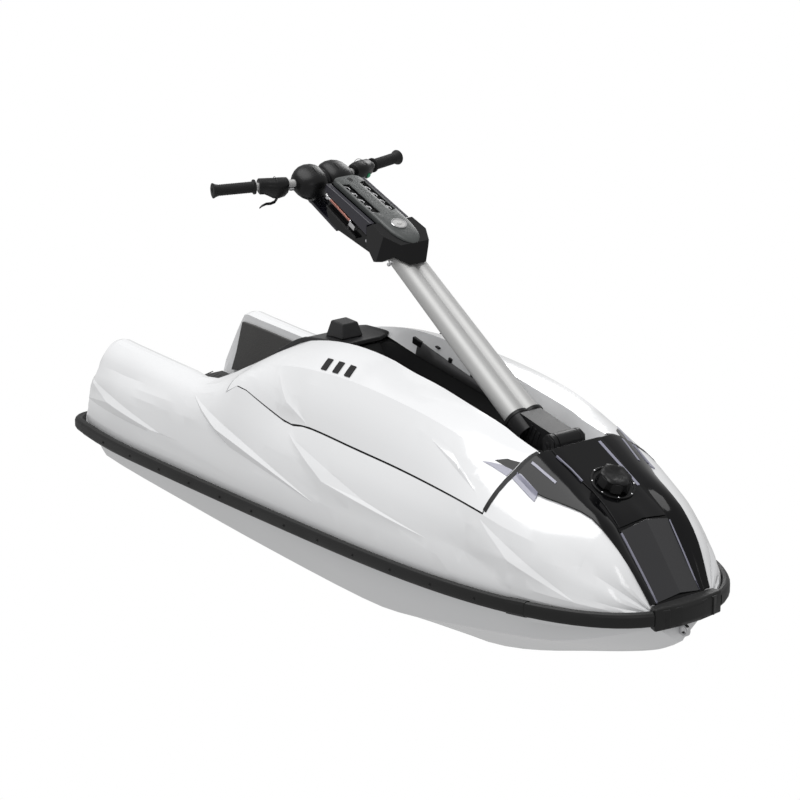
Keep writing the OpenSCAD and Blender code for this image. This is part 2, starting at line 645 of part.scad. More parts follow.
tray_w = 100;
tray_low = -36;
tray_top = 30;
module pole_head() color([0.1, 0.1, 0.1]) pole_frame() difference() {
    union() {
        // the faceted collar at the lower end
        intersection() {
            side_plate(160) polygon([[collar - 35, 55], [collar, 100], [collar + 110, 94],
                [collar + 130, 70], [collar + 110, 22], [collar + 60, 4],
                [collar + 35, 20], [collar + 10, 52]]);
            linear_extrude(height = 120) polygon([[collar - 36, -26], [collar - 10, -42],
                [collar + 50, -72], [collar + 130, -66], [collar + 130, 66],
                [collar + 50, 72], [collar - 10, 42], [collar - 36, 26]]);
        }
        // the spine under the pad
        side_plate(84) polygon([[collar + 100, 46], [collar + 100, tray_top - 2],
            [head_end - 20, tray_top - 2], [head_end, 46], [head_end, 66], [collar + 100, 84]]);
        // the lower tray
        side_plate(tray_w) polygon([[collar + 60, 6], [collar + 60, tray_top],
            [head_end - 20, tray_top], [head_end - 20, -17], [head_end - 47, tray_low],
            [head_end - 90, tray_low + 2]]);
    }
    along_tube(-60, tube_high + seat) lobes(seat);
}
module steering_bracket() {
    low = -64;
    difference() {
        union() {
            translate([pole_reach, 0, low]) cylinder(r = 30, h = 12);
            translate([head_end - 60, -30, low]) cube([pole_reach - head_end + 60, 60, 12]);
            translate([head_end - 60, -30, low]) cube([30, 60, tray_low - seat - low]);
        }
        translate([pole_reach, 0, low - 1]) cylinder(r = stem_r + run, h = 14);
    }
}
module head_rails() color([0.12, 0.11, 0.15]) pole_frame() {
    for (s = [-1, 1]) side_plate(16, s * 58) polygon([[collar + 121, 46],
        [collar + 133, 74], [collar + 118, 88], [head_end - 4, 68], [head_end - 4, 44]]);
    steering_bracket();
}
module head_pad() color([0.3, 0.3, 0.3]) pole_frame() intersection() {
    side_plate(96) polygon([[collar + 2, 100.5], [collar + 111, 94.6], [collar + 120, 84],
        [head_end + 4, 67], [head_end + 4, 77], [head_end - 60, 84], [collar + 110, 101],
        [collar + 40, 108], [collar + 6, 106]]);
    linear_extrude(height = 130) polygon(concat(
        [for (a = [-80:20:80]) [collar + 44 - 42 * cos(a), 46 * sin(a)]],
        [[head_end - 10, 46], [head_end + 4, 34], [head_end + 4, -34], [head_end - 10, -46]]));
}
module steering_rod() color("silver") pole_frame() {
    translate([head_end - 140, 58, 33]) rotate([0, 90, 0]) cylinder(r = 4, h = 120);
    translate([head_end - 20, 58, 33]) sphere(r = 8);
    translate([head_end - 165, tray_w / 2 + seat, tray_top - 6]) cube([26, 16, 14]);
}

// ---- handlebar, turning on the stem ----

bend = [pole_reach + 2, 96, 4];
tip = [pole_reach + 63, bar_half, -24];
module swept_bar(s, from) {
    d = [tip.x - bend.x, s * (tip.y - bend.y), tip.z - bend.z];
    translate([bend.x, s * bend.y, bend.z]) rotate([0, acos(d.z / norm(d)), atan2(d.y, d.x)])
        translate([0, 0, from]) children();
}
swept_l = norm(tip - bend);
// length of bar inside the cover
bar_root = 42;

cover_low = -46;
module steering_stem() color("silver") pole_frame() {
    translate([pole_reach, 0, -70]) cylinder(r = stem_r, h = 70 + cover_low - seat);
    translate([pole_reach, 0, -76]) cylinder(r = stem_r + 6, h = 6);
}
module handlebar() color("silver") pole_frame() for (s = [-1, 1])
    swept_bar(s, -bar_root) cylinder(r = bar_r, h = swept_l + bar_root - 4);
module bar_cover() color([0.1, 0.1, 0.1]) pole_frame() difference() {
    intersection() {
        side_plate(186) polygon([[pole_reach - 70, cover_low], [pole_reach + 44, cover_low],
            [pole_reach + 64, -24], [pole_reach + 60, 6], [pole_reach + 20, 42],
            [pole_reach - 30, 60], [pole_reach - 66, 60], [pole_reach - 70, 40]]);
        translate([pole_reach, 0, cover_low - 1]) cylinder(r = 88, h = 120);
    }
    for (s = [-1, 1]) swept_bar(s, -bar_root - seat) cylinder(r = bar_r + seat, h = 90);
}
control_from = 24;
control_l = 82;
module grip(s) color("black") pole_frame() swept_bar(s, control_from + control_l + 2)
    difference() {
        l = swept_l - control_from - control_l - 2;
        union() {
            cylinder(r = grip_r, h = l);
            cylinder(r = grip_r + 5, h = 5);
            translate([0, 0, l - 14]) cylinder(r1 = grip_r, r2 = grip_r + 6, h = 14);
        }
        translate([0, 0, -1]) cylinder(r = bar_r + seat, h = l - 2);
    }
module grip_starboard() grip(1);
module grip_port() grip(-1);
module throttle_housing() color([0.1, 0.1, 0.1]) pole_frame() swept_bar(1, control_from)
    difference() {
        union() {
            cylinder(r = 24, h = control_l);
            translate([-6, -24, 0]) cube([44, 44, control_l * 0.66]);
        }
        translate([0, 0, -1]) cylinder(r = bar_r + seat, h = control_l + 2);
        translate([25, -30, control_l * 0.4]) cube([14, 60, 9]);
    }
module throttle_lever() color("black") pole_frame() swept_bar(1, control_from)
    translate([26, -2, control_l * 0.4 + 1.5]) {
        cube([30, 20, 6]);
        translate([24, 4, 0]) cube([7, 12, 46]);
    }
module switch_housing() color([0.1, 0.1, 0.1]) pole_frame() swept_bar(-1, control_from)
    difference() {
        union() {
            cylinder(r = 25, h = control_l - 6);
            translate([-26, -20, 8]) cube([50, 40, control_l - 22]);
        }
        translate([0, 0, -1]) cylinder(r = bar_r + seat, h = control_l + 2);
    }

hull_shell();
deck();
engine_hood();
hood_seal();
hood_channel();
hood_vents();
chin_pad();
pole_rest();
nose_panel();
nose_strip();
fuel_neck();
fuel_cap();
rub_rail_starboard();
rub_rail_port();
stern_cap_starboard();
stern_cap_port();
bow_bumper();
bow_eye();
tray_mat();
side_mat_starboard();
side_mat_port();
ride_plate();
intake_grate();
pump_housing();
impeller();
drive_shaft();
steering_nozzle();
engine_block();
pole_mount();
pivot_pin();
pole_foot();
pole_tube();
pole_head();
head_rails();
head_pad();
steering_rod();
steering_stem();
handlebar();
bar_cover();
grip_starboard();
grip_port();
throttle_housing();
throttle_lever();
switch_housing();
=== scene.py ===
import bpy, bmesh, json, math
from mathutils import Matrix, Vector
from mathutils.bvhtree import BVHTree


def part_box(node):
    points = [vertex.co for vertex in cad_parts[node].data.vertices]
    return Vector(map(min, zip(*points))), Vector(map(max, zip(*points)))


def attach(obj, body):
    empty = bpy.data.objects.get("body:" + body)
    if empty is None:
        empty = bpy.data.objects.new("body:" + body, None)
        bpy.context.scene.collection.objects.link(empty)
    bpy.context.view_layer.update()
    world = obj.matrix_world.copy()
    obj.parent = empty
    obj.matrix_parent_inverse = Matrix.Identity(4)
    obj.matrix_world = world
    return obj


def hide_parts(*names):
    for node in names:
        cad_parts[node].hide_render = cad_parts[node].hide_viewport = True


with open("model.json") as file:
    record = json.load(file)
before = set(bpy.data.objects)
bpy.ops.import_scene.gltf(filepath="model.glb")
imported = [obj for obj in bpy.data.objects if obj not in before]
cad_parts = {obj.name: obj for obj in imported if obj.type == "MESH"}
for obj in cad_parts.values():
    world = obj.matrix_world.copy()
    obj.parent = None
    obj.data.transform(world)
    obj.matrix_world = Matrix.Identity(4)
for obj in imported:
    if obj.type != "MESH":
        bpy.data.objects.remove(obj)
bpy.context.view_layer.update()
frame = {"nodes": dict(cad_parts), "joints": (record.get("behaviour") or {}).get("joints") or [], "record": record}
nodes = frame["nodes"]
joints = {j["name"]: j for j in frame["joints"]}
scene = bpy.context.scene
mm = 0.001
print("frame loaded:", len(nodes), "nodes")


# materials

def newMaterial(name, colour, rough, metal=0.0, coat=0.0, sheen=0.0):
    mat = bpy.data.materials.new(name)
    mat.use_nodes = True
    shader = mat.node_tree.nodes["Principled BSDF"]
    shader.inputs["Base Color"].default_value = (*colour, 1)
    shader.inputs["Roughness"].default_value = rough
    shader.inputs["Metallic"].default_value = metal
    shader.inputs["Coat Weight"].default_value = coat
    shader.inputs["Coat Roughness"].default_value = 0.04
    shader.inputs["Sheen Weight"].default_value = sheen
    return mat, mat.node_tree, shader


def objectNoise(tree, scale, detail, stretch=(1, 1, 1)):
    coords = tree.nodes.new("ShaderNodeTexCoord")
    mapping = tree.nodes.new("ShaderNodeMapping")
    noise = tree.nodes.new("ShaderNodeTexNoise")
    mapping.inputs["Scale"].default_value = stretch
    noise.inputs["Scale"].default_value = scale
    noise.inputs["Detail"].default_value = detail
    tree.links.new(coords.outputs["Object"], mapping.inputs["Vector"])
    tree.links.new(mapping.outputs["Vector"], noise.inputs["Vector"])
    return noise


def spread(tree, noise, low, high, socket):  # noise mapped to a narrow range of values
    ramp = tree.nodes.new("ShaderNodeMapRange")
    for name, value in (("From Min", 0.3), ("From Max", 0.7), ("To Min", low), ("To Max", high)):
        ramp.inputs[name].default_value = value
    tree.links.new(noise.outputs["Fac"], ramp.inputs["Value"])
    tree.links.new(ramp.outputs["Result"], socket)


def tint(tree, noise, dark, light, socket):
    blend = tree.nodes.new("ShaderNodeMix")
    blend.data_type = "RGBA"
    blend.inputs["A"].default_value = (*dark, 1)
    blend.inputs["B"].default_value = (*light, 1)
    tree.links.new(noise.outputs["Fac"], blend.inputs["Factor"])
    tree.links.new(blend.outputs["Result"], socket)


def addBump(tree, shader, heights, strength, distance):
    bump = tree.nodes.new("ShaderNodeBump")
    bump.inputs["Strength"].default_value = strength
    bump.inputs["Distance"].default_value = distance
    tree.links.new(heights, bump.inputs["Height"])
    tree.links.new(bump.outputs["Normal"], shader.inputs["Normal"])


def moulded(name, colour, rough, grain, bump, coat=0.0, metal=0.0, vary=0.12, stretch=(1, 1, 1),
            shine=0.5):
    mat, tree, shader = newMaterial(name, colour, rough, metal, coat)
    shader.inputs["Specular IOR Level"].default_value = shine
    fine = objectNoise(tree, grain, 4, stretch)
    broad = objectNoise(tree, 6, 3)
    spread(tree, broad, rough * (1 - vary), rough * (1 + vary), shader.inputs["Roughness"])
    dark = tuple(c * (1 - vary) for c in colour)
    light = tuple(min(1, c * (1 + vary)) for c in colour)
    tint(tree, broad, dark, light, shader.inputs["Base Color"])
    addBump(tree, shader, fine.outputs["Fac"], bump, 0.0006)
    return mat


def foam(name, colour, cell):  # closed-cell foam with an embossed pebble pattern
    mat, tree, shader = newMaterial(name, colour, 0.82, sheen=0.15)
    coords = tree.nodes.new("ShaderNodeTexCoord")
    cells = tree.nodes.new("ShaderNodeTexVoronoi")
    cells.inputs["Scale"].default_value = cell
    tree.links.new(coords.outputs["Object"], cells.inputs["Vector"])
    broad = objectNoise(tree, 9, 4)
    tint(tree, broad, tuple(c * 0.8 for c in colour), tuple(c * 1.2 for c in colour),
         shader.inputs["Base Color"])
    addBump(tree, shader, cells.outputs["Distance"], 0.35, 0.0012)
    return mat


print("materials")
white = moulded("gelcoatWhite", (0.84, 0.845, 0.855), 0.17, grain=420, bump=0.02, coat=0.35, vary=0.015)
hullWhite = moulded("hullWhite", (0.78, 0.785, 0.795), 0.24, grain=420, bump=0.03, coat=0.2, vary=0.02)
glossBlack = moulded("glossBlack", (0.0025, 0.0025, 0.003), 0.12, grain=500, bump=0.015, coat=0.04,
                     shine=0.24)
satinBlack = moulded("satinBlack", (0.006, 0.006, 0.0065), 0.34, grain=1500, bump=0.15, shine=0.28)
softBlack = moulded("softBlack", (0.009, 0.009, 0.0095), 0.5, grain=1100, bump=0.25, shine=0.3)
headGrey = moulded("headGrey", (0.055, 0.06, 0.059), 0.36, grain=1600, bump=0.18, shine=0.5)
padGrey = moulded("padGrey", (0.018, 0.018, 0.019), 0.42, grain=1300, bump=0.3, shine=0.4)
stripGrey = moulded("stripGrey", (0.02, 0.02, 0.022), 0.24, grain=900, bump=0.05, coat=0.2, shine=0.5)
linerGrey = moulded("linerGrey", (0.075, 0.075, 0.077), 0.5, grain=1200, bump=0.25, shine=0.3)
railRubber = moulded("railRubber", (0.011, 0.011, 0.011), 0.45, grain=1400, bump=0.25, vary=0.2,
                     shine=0.3)
gripRubber = moulded("gripRubber", (0.012, 0.012, 0.012), 0.62, grain=1800, bump=0.35, shine=0.3)
violetGloss = moulded("violetGloss", (0.013, 0.012, 0.021), 0.22, grain=700, bump=0.03, coat=0.15,
                      shine=0.4)
# light lilac colour painted on black gloss trim: painted highlights on the lit sides of the nose grooves, and
# painted reflections on the corner facets
paintedHighlight = moulded("paintedHighlight", (0.27, 0.27, 0.34), 0.2, grain=600, bump=0.02, coat=0.3)
matBlack = foam("matBlack", (0.012, 0.012, 0.012), 160)
matGrey = foam("matGrey", (0.05, 0.0485, 0.047), 240)
anodised = moulded("anodised", (0.5, 0.5, 0.495), 0.56, grain=260, bump=0.05, metal=0.55, vary=0.05,
                   stretch=(0.05, 1, 1))
castAlloy = moulded("castAlloy", (0.4, 0.41, 0.42), 0.45, grain=500, bump=0.3, metal=0.9)
steel = moulded("stainless", (0.62, 0.62, 0.63), 0.22, grain=700, bump=0.06, metal=1.0, vary=0.1)
rodRed = moulded("rodRed", (0.45, 0.2, 0.16), 0.3, grain=500, bump=0.05, metal=0.7)
enginePaint = moulded("enginePaint", (0.05, 0.05, 0.055), 0.5, grain=300, bump=0.3)
greenLens = moulded("greenLens", (0.0, 0.3, 0.12), 0.25, grain=600, bump=0.04, coat=0.4)


# mesh helpers

def newPiece(name, verts, faces, material, body, slotName, smooth=35, bevel=0.0, segments=2):
    mesh = bpy.data.meshes.new(name)
    mesh.from_pydata([tuple(v) for v in verts], [], [tuple(f) for f in faces])
    mesh.validate()
    return finishPiece(name, mesh, material, body, smooth, bevel, segments)


weldWithin = 0.00002
bevelFrom = 28  # degrees


def finishPiece(name, mesh, material, body, smooth=35, bevel=0.0, segments=2):
    bm = bmesh.new()
    bm.from_mesh(mesh)
    bmesh.ops.remove_doubles(bm, verts=bm.verts, dist=weldWithin)
    bmesh.ops.recalc_face_normals(bm, faces=bm.faces)
    bm.to_mesh(mesh)
    bm.free()
    mesh.materials.clear()
    mesh.materials.append(material)
    mesh.shade_smooth()
    mesh.set_sharp_from_angle(angle=math.radians(smooth))
    obj = bpy.data.objects.new(name, mesh)
    scene.collection.objects.link(obj)
    if bevel:
        mod = obj.modifiers.new("edges", "BEVEL")
        mod.width = bevel
        mod.segments = segments
        mod.limit_method = "ANGLE"
        mod.angle_limit = math.radians(bevelFrom)
        mod.harden_normals = True
    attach(obj, body)
    return obj


bodyOf = {n: b for b, ns in frame["record"]["behaviour"]["bodies"].items() for n in ns}
slotOf = {s["node"]: s["material_slot"] for s in frame["record"]["subparts"]}


def meshOf(node):  # a clean copy of a node's mesh, welded, with flat faces joined
    source = nodes[node].data
    mesh = bpy.data.meshes.new(node + "Copy")
    mesh.from_pydata([v.co[:] for v in source.vertices], [], [p.vertices[:] for p in source.polygons])
    bm = bmesh.new()
    bm.from_mesh(mesh)
    bmesh.ops.remove_doubles(bm, verts=bm.verts, dist=weldWithin)
    bmesh.ops.dissolve_limit(bm, angle_limit=0.002, verts=bm.verts, edges=bm.edges)
    bm.to_mesh(mesh)
    bm.free()
    return mesh


def remake(node, material, bevel):
    piece = finishPiece(node + "Skin", meshOf(node), material, bodyOf[node], 30, bevel)
    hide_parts(node)


def around(steps):  # the angles of one turn
    return [2 * math.pi * k / steps for k in range(steps)]


def blunt(t, power):  # the cosine and sine of t, squared off
    c, d = math.cos(t), math.sin(t)
    return math.copysign(abs(c) ** power, c), math.copysign(abs(d) ** power, d)


def shift(x, y, z):
    return Matrix.Translation((x, y, z))


def spin(turn, axis):  # in degrees
    return Matrix.Rotation(math.radians(turn), 4, axis)


def gridFaces(rows, cols, closed=False):
    faces = []
    for i in range(rows - 1):
        for j in range(cols if closed else cols - 1):
            a, b = i * cols + j, i * cols + (j + 1) % cols
            faces.append((a, b, b + cols, a + cols))
    return faces


def loft(rings):  # closed rings of equal length, joined in order and capped
    n = len(rings[0])
    verts = [v for ring in rings for v in ring]
    faces = gridFaces(len(rings), n, closed=True)
    faces.append(tuple(reversed(range(n))))
    faces.append(tuple(range((len(rings) - 1) * n, len(rings) * n)))
    return verts, faces


def turned(profile, steps, place):  # (radius, height) pairs swept about local Z
    rings = [[place @ Vector((r * math.cos(a), r * math.sin(a), h)) for a in around(steps)]
             for r, h in profile]
    return loft(rings)


def joined(parts):
    verts, faces = [], []
    for v, f in parts:
        faces += [tuple(i + len(verts) for i in face) for face in f]
        verts += v
    return verts, faces


def blockAt(place, sx, sy, sz):
    verts = [place @ Vector((x * sx / 2, y * sy / 2, z * sz / 2))
             for x in (-1, 1) for y in (-1, 1) for z in (-1, 1)]
    return verts, [(0, 1, 3, 2), (4, 6, 7, 5), (0, 4, 5, 1), (2, 3, 7, 6), (0, 2, 6, 4), (1, 5, 7, 3)]


def prism(outline, low, high, place):  # an outline in local XY, from low to high in Z
    rings = [[place @ Vector((x, y, z)) for x, y in outline] for z in (low, high)]
    return loft(rings)


def plate(outline, width, place):  # a side-view outline (x, z), spread across local Y
    rings = [[place @ Vector((x, y, z)) for x, z in outline] for y in (-width / 2, width / 2)]
    return loft(rings)


def tube(points, radius, sides, place=Matrix()):
    pts = [place @ Vector(p) for p in points]
    rings = []
    side = None
    for i, p in enumerate(pts):
        ahead = (pts[min(i + 1, len(pts) - 1)] - pts[max(i - 1, 0)]).normalized()
        if side is None:
            side = ahead.orthogonal().normalized()
        side = (side - ahead * side.dot(ahead)).normalized()
        other = ahead.cross(side)
        rings.append([p + (side * math.cos(t) + other * math.sin(t)) * radius for t in around(sides)])
    return loft(rings)


def surfaceOf(*names):  # a search tree over the outer surface of some CAD nodes
    verts, faces = [], []
    for n in names:
        mesh = nodes[n].data
        faces += [tuple(i + len(verts) for i in p.vertices) for p in mesh.polygons]
        verts += [v.co.copy() for v in mesh.vertices]
    return BVHTree.FromPolygons(verts, faces)


def dropOn(tree, x, y):  # the point straight below (x, y), and the way it faces
    hit, normal, _, _ = tree.ray_cast(Vector((x, y, 2)), Vector((0, 0, -1)))
    if normal.z < 0:
        normal = -normal
    return hit, normal


trimFoot = 0.3  # mm between a surface and the trim laid on it
patchCuts = 5
bandCuts = 4


def bandOn(tree, line, halfWidth, high):  # a strip laid along a plan polyline
    pts = [Vector((x * mm, y * mm)) for x, y in line]
    dense = [pts[0]]
    for a, b in zip(pts, pts[1:]):
        dense += [a.lerp(b, k / bandCuts) for k in range(1, bandCuts + 1)]
    rings = []
    for i, p in enumerate(dense):
        ahead = (dense[min(i + 1, len(dense) - 1)] - dense[max(i - 1, 0)]).normalized()
        across = Vector((-ahead.y, ahead.x)) * halfWidth * mm
        ring = []
        for side, lift in ((-1, trimFoot), (1, trimFoot), (1, high), (-1, high)):
            hit, normal = dropOn(tree, *(p + across * side))
            ring.append(hit + normal * lift * mm)
        rings.append(ring)
    return loft(rings)


def slab(tops, unders, rows, cols):  # two grids of points, closed round the rim
    n = rows * cols
    faces = gridFaces(rows, cols)
    faces += [tuple(n + k for k in reversed(f)) for f in faces]
    rim = list(range(cols)) + [i * cols + cols - 1 for i in range(1, rows)]
    rim += [(rows - 1) * cols + k for k in range(cols - 2, -1, -1)]
    rim += [i * cols for i in range(rows - 2, 0, -1)]
    faces += [(a, a + n, b + n, b) for a, b in zip(rim, rim[1:] + rim[:1])]
    return tops + unders, faces


def patchOn(tree, corners, high):  # a four-cornered patch laid on the surface
    a, b, c, d = (Vector((x * mm, y * mm)) for x, y in corners)
    tops, unders = [], []
    for i in range(patchCuts + 1):
        for j in range(patchCuts + 1):
            p = a.lerp(b, i / patchCuts).lerp(d.lerp(c, i / patchCuts), j / patchCuts)
            hit, normal = dropOn(tree, p.x, p.y)
            tops.append(hit + normal * high * mm)
            unders.append(hit + normal * trimFoot * mm)
    return slab(tops, unders, patchCuts + 1, patchCuts + 1)


# camera and lights

view = {"azimuth": 53.04, "elevation": 18.55, "distance": 8.4, "lens": 136.3,
        "sensor": 36, "aim": (-0.014, 0.011, 0.523)}


def setCamera():
    a, e = math.radians(view["azimuth"]), math.radians(view["elevation"])
    away = Vector((math.sin(a) * math.cos(e), -math.cos(a) * math.cos(e), math.sin(e)))
    camera = bpy.data.objects.new("camera", bpy.data.cameras.new("camera"))
    camera.data.lens = view["lens"]
    camera.data.sensor_width = view["sensor"]
    camera.location = Vector(view["aim"]) + away * view["distance"]
    camera.rotation_euler = (-away).to_track_quat("-Z", "Y").to_euler()
    scene.collection.objects.link(camera)
    scene.camera = camera


studio = {
    "sky": 0.52,
    "sun": {"strength": 2.1, "spread": 50, "from": (-0.25, -0.2, 1.0)},
    "lamps": [  # place, aim, width, height, watts
        ((-2.6, 3.4, 2.6), (-0.3, 0, 0.6), 1.2, 2.4, 40),
        ((3.6, -1.6, 2.4), (1.0, 0, 0.5), 0.5, 1.4, 9),
    ],
}


def setWorld():  # plain white behind the craft, and a softer sky that lights it
    world = bpy.data.worlds.new("studio")
    scene.world = world
    world.use_nodes = True
    tree = world.node_tree
    sky, behind = tree.nodes["Background"], tree.nodes.new("ShaderNodeBackground")
    for shade in (sky, behind):
        shade.inputs["Color"].default_value = (1, 1, 1, 1)
    sky.inputs["Strength"].default_value = studio["sky"]
    path = tree.nodes.new("ShaderNodeLightPath")
    blend = tree.nodes.new("ShaderNodeMixShader")
    tree.links.new(path.outputs["Is Camera Ray"], blend.inputs["Fac"])
    tree.links.new(sky.outputs["Background"], blend.inputs[1])
    tree.links.new(behind.outputs["Background"], blend.inputs[2])
    tree.links.new(blend.outputs["Shader"], tree.nodes["World Output"].inputs["Surface"])


def setLamps():
    sun = bpy.data.lights.new("sun", "SUN")
    sun.energy = studio["sun"]["strength"]
    sun.angle = math.radians(studio["sun"]["spread"])
    high = bpy.data.objects.new("sun", sun)
    high.rotation_euler = Vector(studio["sun"]["from"]).to_track_quat("Z", "Y").to_euler()
    scene.collection.objects.link(high)
    for k, (place, aim, w, h, watts) in enumerate(studio["lamps"]):
        lamp = bpy.data.lights.new("lamp%d" % k, "AREA")
        lamp.shape = "RECTANGLE"
        lamp.size, lamp.size_y, lamp.energy = w, h, watts
        obj = bpy.data.objects.new("lamp%d" % k, lamp)
        obj.location = place
        obj.rotation_euler = (Vector(aim) - Vector(place)).to_track_quat("-Z", "Y").to_euler()
        scene.collection.objects.link(obj)
    scene.view_settings.view_transform = "Standard"


print("camera and studio")
setCamera()
setWorld()
setLamps()

# hull, deck and hood

facets = {  # side-view outlines (x, z) in mm with the height of the apex, port and starboard
    "sternLow": [(-1150, 372), (-600, 306), (-1150, 300), ((-980, 330), 8)],
    "sternHigh": [(-560, 462), (-120, 372), (90, 330), (-330, 372), (-470, 420), ((-395, 408), 11)],
    "middle": [(-90, 474), (300, 398), (560, 372), (120, 352), ((120, 402), 9)],
    "bow": [(736, 470), (1040, 322), (860, 318), (700, 380), ((850, 392), 11)],
}
hoodFacets = {
    "rear": [(-205, 600), (-18, 514), (-170, 516), ((-130, 548), 6)],
    "front": [(470, 600), (690, 520), (560, 585), ((600, 566), 6)],
}


nearFacet = {"along": 0.06, "up": 0.04, "facing": 0.3, "outward": 0.02,  # which faces a facet cuts
             "within": 0.0004, "leastArea": 1e-9}


def side(p, q, r):  # twice the signed area of a triangle
    return (q[0] - p[0]) * (r[1] - p[1]) - (q[1] - p[1]) * (r[0] - p[0])


def facetLift(facet, x, z):
    *ring, (apex, height) = facet
    for a, b in zip(ring, ring[1:] + ring[:1]):
        whole = side(a, b, apex)
        if abs(whole) < nearFacet["leastArea"]:
            continue
        u, v, w = (side(p, q, (x, z)) / whole for p, q in ((a, b), (b, apex), (apex, a)))
        if min(u, v, w) >= 0:
            return height * u
    return 0.0


def inside(value, ends, spare):
    return min(ends) - spare < value < max(ends) + spare


def facetted(mesh, table, minimum):  # cuts the mesh along each facet's edges, then raises its apex
    bm = bmesh.new()
    bm.from_mesh(mesh)
    for facet in table.values():
        *ring, (apex, _) = facet
        edges = list(zip(ring, ring[1:] + ring[:1])) + [(apex, p) for p in ring]
        xs, zs = [p[0] * mm for p in ring], [p[1] * mm for p in ring]
        for a, b in edges:
            near = [f for f in bm.faces if abs(f.calc_center_median().y) > minimum
                    and abs(f.normal.y) > nearFacet["facing"]
                    and inside(f.calc_center_median().x, xs, nearFacet["along"])
                    and inside(f.calc_center_median().z, zs, nearFacet["up"])]
            across = Vector((-(b[1] - a[1]), 0, b[0] - a[0])).normalized()
            geom = near + list({e for f in near for e in f.edges} | {v for f in near for v in f.verts})
            bmesh.ops.bisect_plane(bm, geom=geom, plane_co=Vector((a[0] * mm, 0, a[1] * mm)),
                                   plane_no=across, dist=nearFacet["within"])
    for v in bm.verts:
        if abs(v.co.y) > minimum and v.normal.y * v.co.y > nearFacet["outward"] * abs(v.co.y):
            lift = sum(facetLift(f, v.co.x / mm, v.co.z / mm) for f in table.values())
            v.co.y += math.copysign(lift * mm, v.co.y)
    bm.to_mesh(mesh)
    bm.free()
    return mesh


shells = {  # piece, material, facets, how far out they start, and the smoothing angle
    "deck": ("deckShell", white, facets, 0.2, 13),
    "engine_hood": ("hoodShell", white, hoodFacets, 0.19, 17),
    "hull_shell": ("hullShell", hullWhite, {}, 0, 14),
}


def makeShells():
    for node, (name, material, table, minimum, smooth) in shells.items():
        mesh = facetted(meshOf(node), table, minimum)
        piece = finishPiece(name, mesh, material, "hull", smooth)
        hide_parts(node)


print("hull, deck and hood")
makeShells()

print("deck fittings")
for node, material, bevel in [
        ("hood_seal", softBlack, 0), ("hood_channel", softBlack, 0), ("hood_vents", satinBlack, 0.0008),
        ("chin_pad", padGrey, 0.003), ("nose_panel", glossBlack, 0.002),
        ("rub_rail_starboard", railRubber, 0.0012), ("rub_rail_port", railRubber, 0.0012),
        ("stern_cap_starboard", railRubber, 0.002), ("stern_cap_port", railRubber, 0.002),
        ("bow_bumper", railRubber, 0.004), ("bow_eye", steel, 0.0015), ("tray_mat", matBlack, 0.003),
        ("side_mat_starboard", matGrey, 0.003), ("side_mat_port", matGrey, 0.003),
        ("ride_plate", castAlloy, 0.0015), ("intake_grate", castAlloy, 0.0015),
        ("pump_housing", castAlloy, 0.0015), ("impeller", steel, 0.0008), ("drive_shaft", steel, 0.0008),
        ("steering_nozzle", castAlloy, 0.0015), ("engine_block", enginePaint, 0.006),
        ("pole_mount", satinBlack, 0.003), ("pivot_pin", steel, 0.001), ("pole_foot", satinBlack, 0.003),
        ("pole_head", glossBlack, 0.003),
        ("head_rails", violetGloss, 0.003), ("steering_rod", steel, 0.0015),
        ("steering_stem", steel, 0.001), ("handlebar", anodised, 0.0008),
        ("fuel_neck", satinBlack, 0.0015),
        ("fuel_cap", softBlack, 0.003)]:
    remake(node, material, bevel)

stopScale = (0.68, 0.72, 0.86, 1)


def makeStop():  # what the lowered pole's head comes down to
    mesh = meshOf("pole_rest")
    low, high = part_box("pole_rest")
    foot = Vector(((low.x + high.x) / 2, 0, low.z))
    mesh.transform(shift(*foot) @ Matrix.Diagonal(stopScale) @ shift(*-foot))
    piece = finishPiece("poleStop", mesh, padGrey, "hull", smooth=30, bevel=0.005)
    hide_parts("pole_rest")


makeStop()
nose = surfaceOf("nose_panel", "deck")
hoodTop = surfaceOf("engine_hood", "deck")

frontStrip = {"from": 1022, "to": 1157, "halfWidth": (78, 70), "rows": 12,
              "section": [(-1, 0.5), (-1, 3.5), (0, 9), (1, 3.5), (1, 0.5), (0, 0.5)]}  # share, lift


def makeFrontStrip():  # two facets that meet in a ridge, closed underneath
    rings = []
    for i in range(frontStrip["rows"] + 1):
        t = i / frontStrip["rows"]
        x = frontStrip["from"] + (frontStrip["to"] - frontStrip["from"]) * t
        w = frontStrip["halfWidth"][0] * (1 - t) + frontStrip["halfWidth"][1] * t
        ring = []
        for share, lift in frontStrip["section"]:
            hit, normal = dropOn(nose, x * mm, share * w * mm)
            ring.append(hit + normal * lift * mm)
        rings.append(ring)
    piece = newPiece("frontStrip", *loft(rings), stripGrey, "hull", slotOf["nose_strip"],
                     smooth=8, bevel=0.001)
    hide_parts("nose_strip")


centrePlate = {"line": [(752, 82), (800, 84), (860, 77), (905, 70), (950, 70), (1016, 78)], "lift": 4,
               "edge": 2.5, "half": 6, "cuts": 4}


def makeCentrePlate():  # the raised middle of the nose panel
    half, cuts = centrePlate["half"], centrePlate["cuts"]
    line = centrePlate["line"]
    rows = []
    for (x0, w0), (x1, w1) in zip(line, line[1:]):
        rows += [(x0 + (x1 - x0) * k / cuts, w0 + (w1 - w0) * k / cuts) for k in range(cuts)]
    rows.append(line[-1])
    tops, unders = [], []
    for x, w in rows:
        for k in range(-half, half + 1):
            hit, normal = dropOn(nose, x * mm, w * k / half * mm)
            tops.append(hit + normal * centrePlate["edge" if abs(k) == half else "lift"] * mm)
            unders.append(hit + normal * trimFoot * mm)
    newPiece("centrePlate", *slab(tops, unders, len(rows), 2 * half + 1), glossBlack, "hull",
             "black_gloss", smooth=25, bevel=0.001)


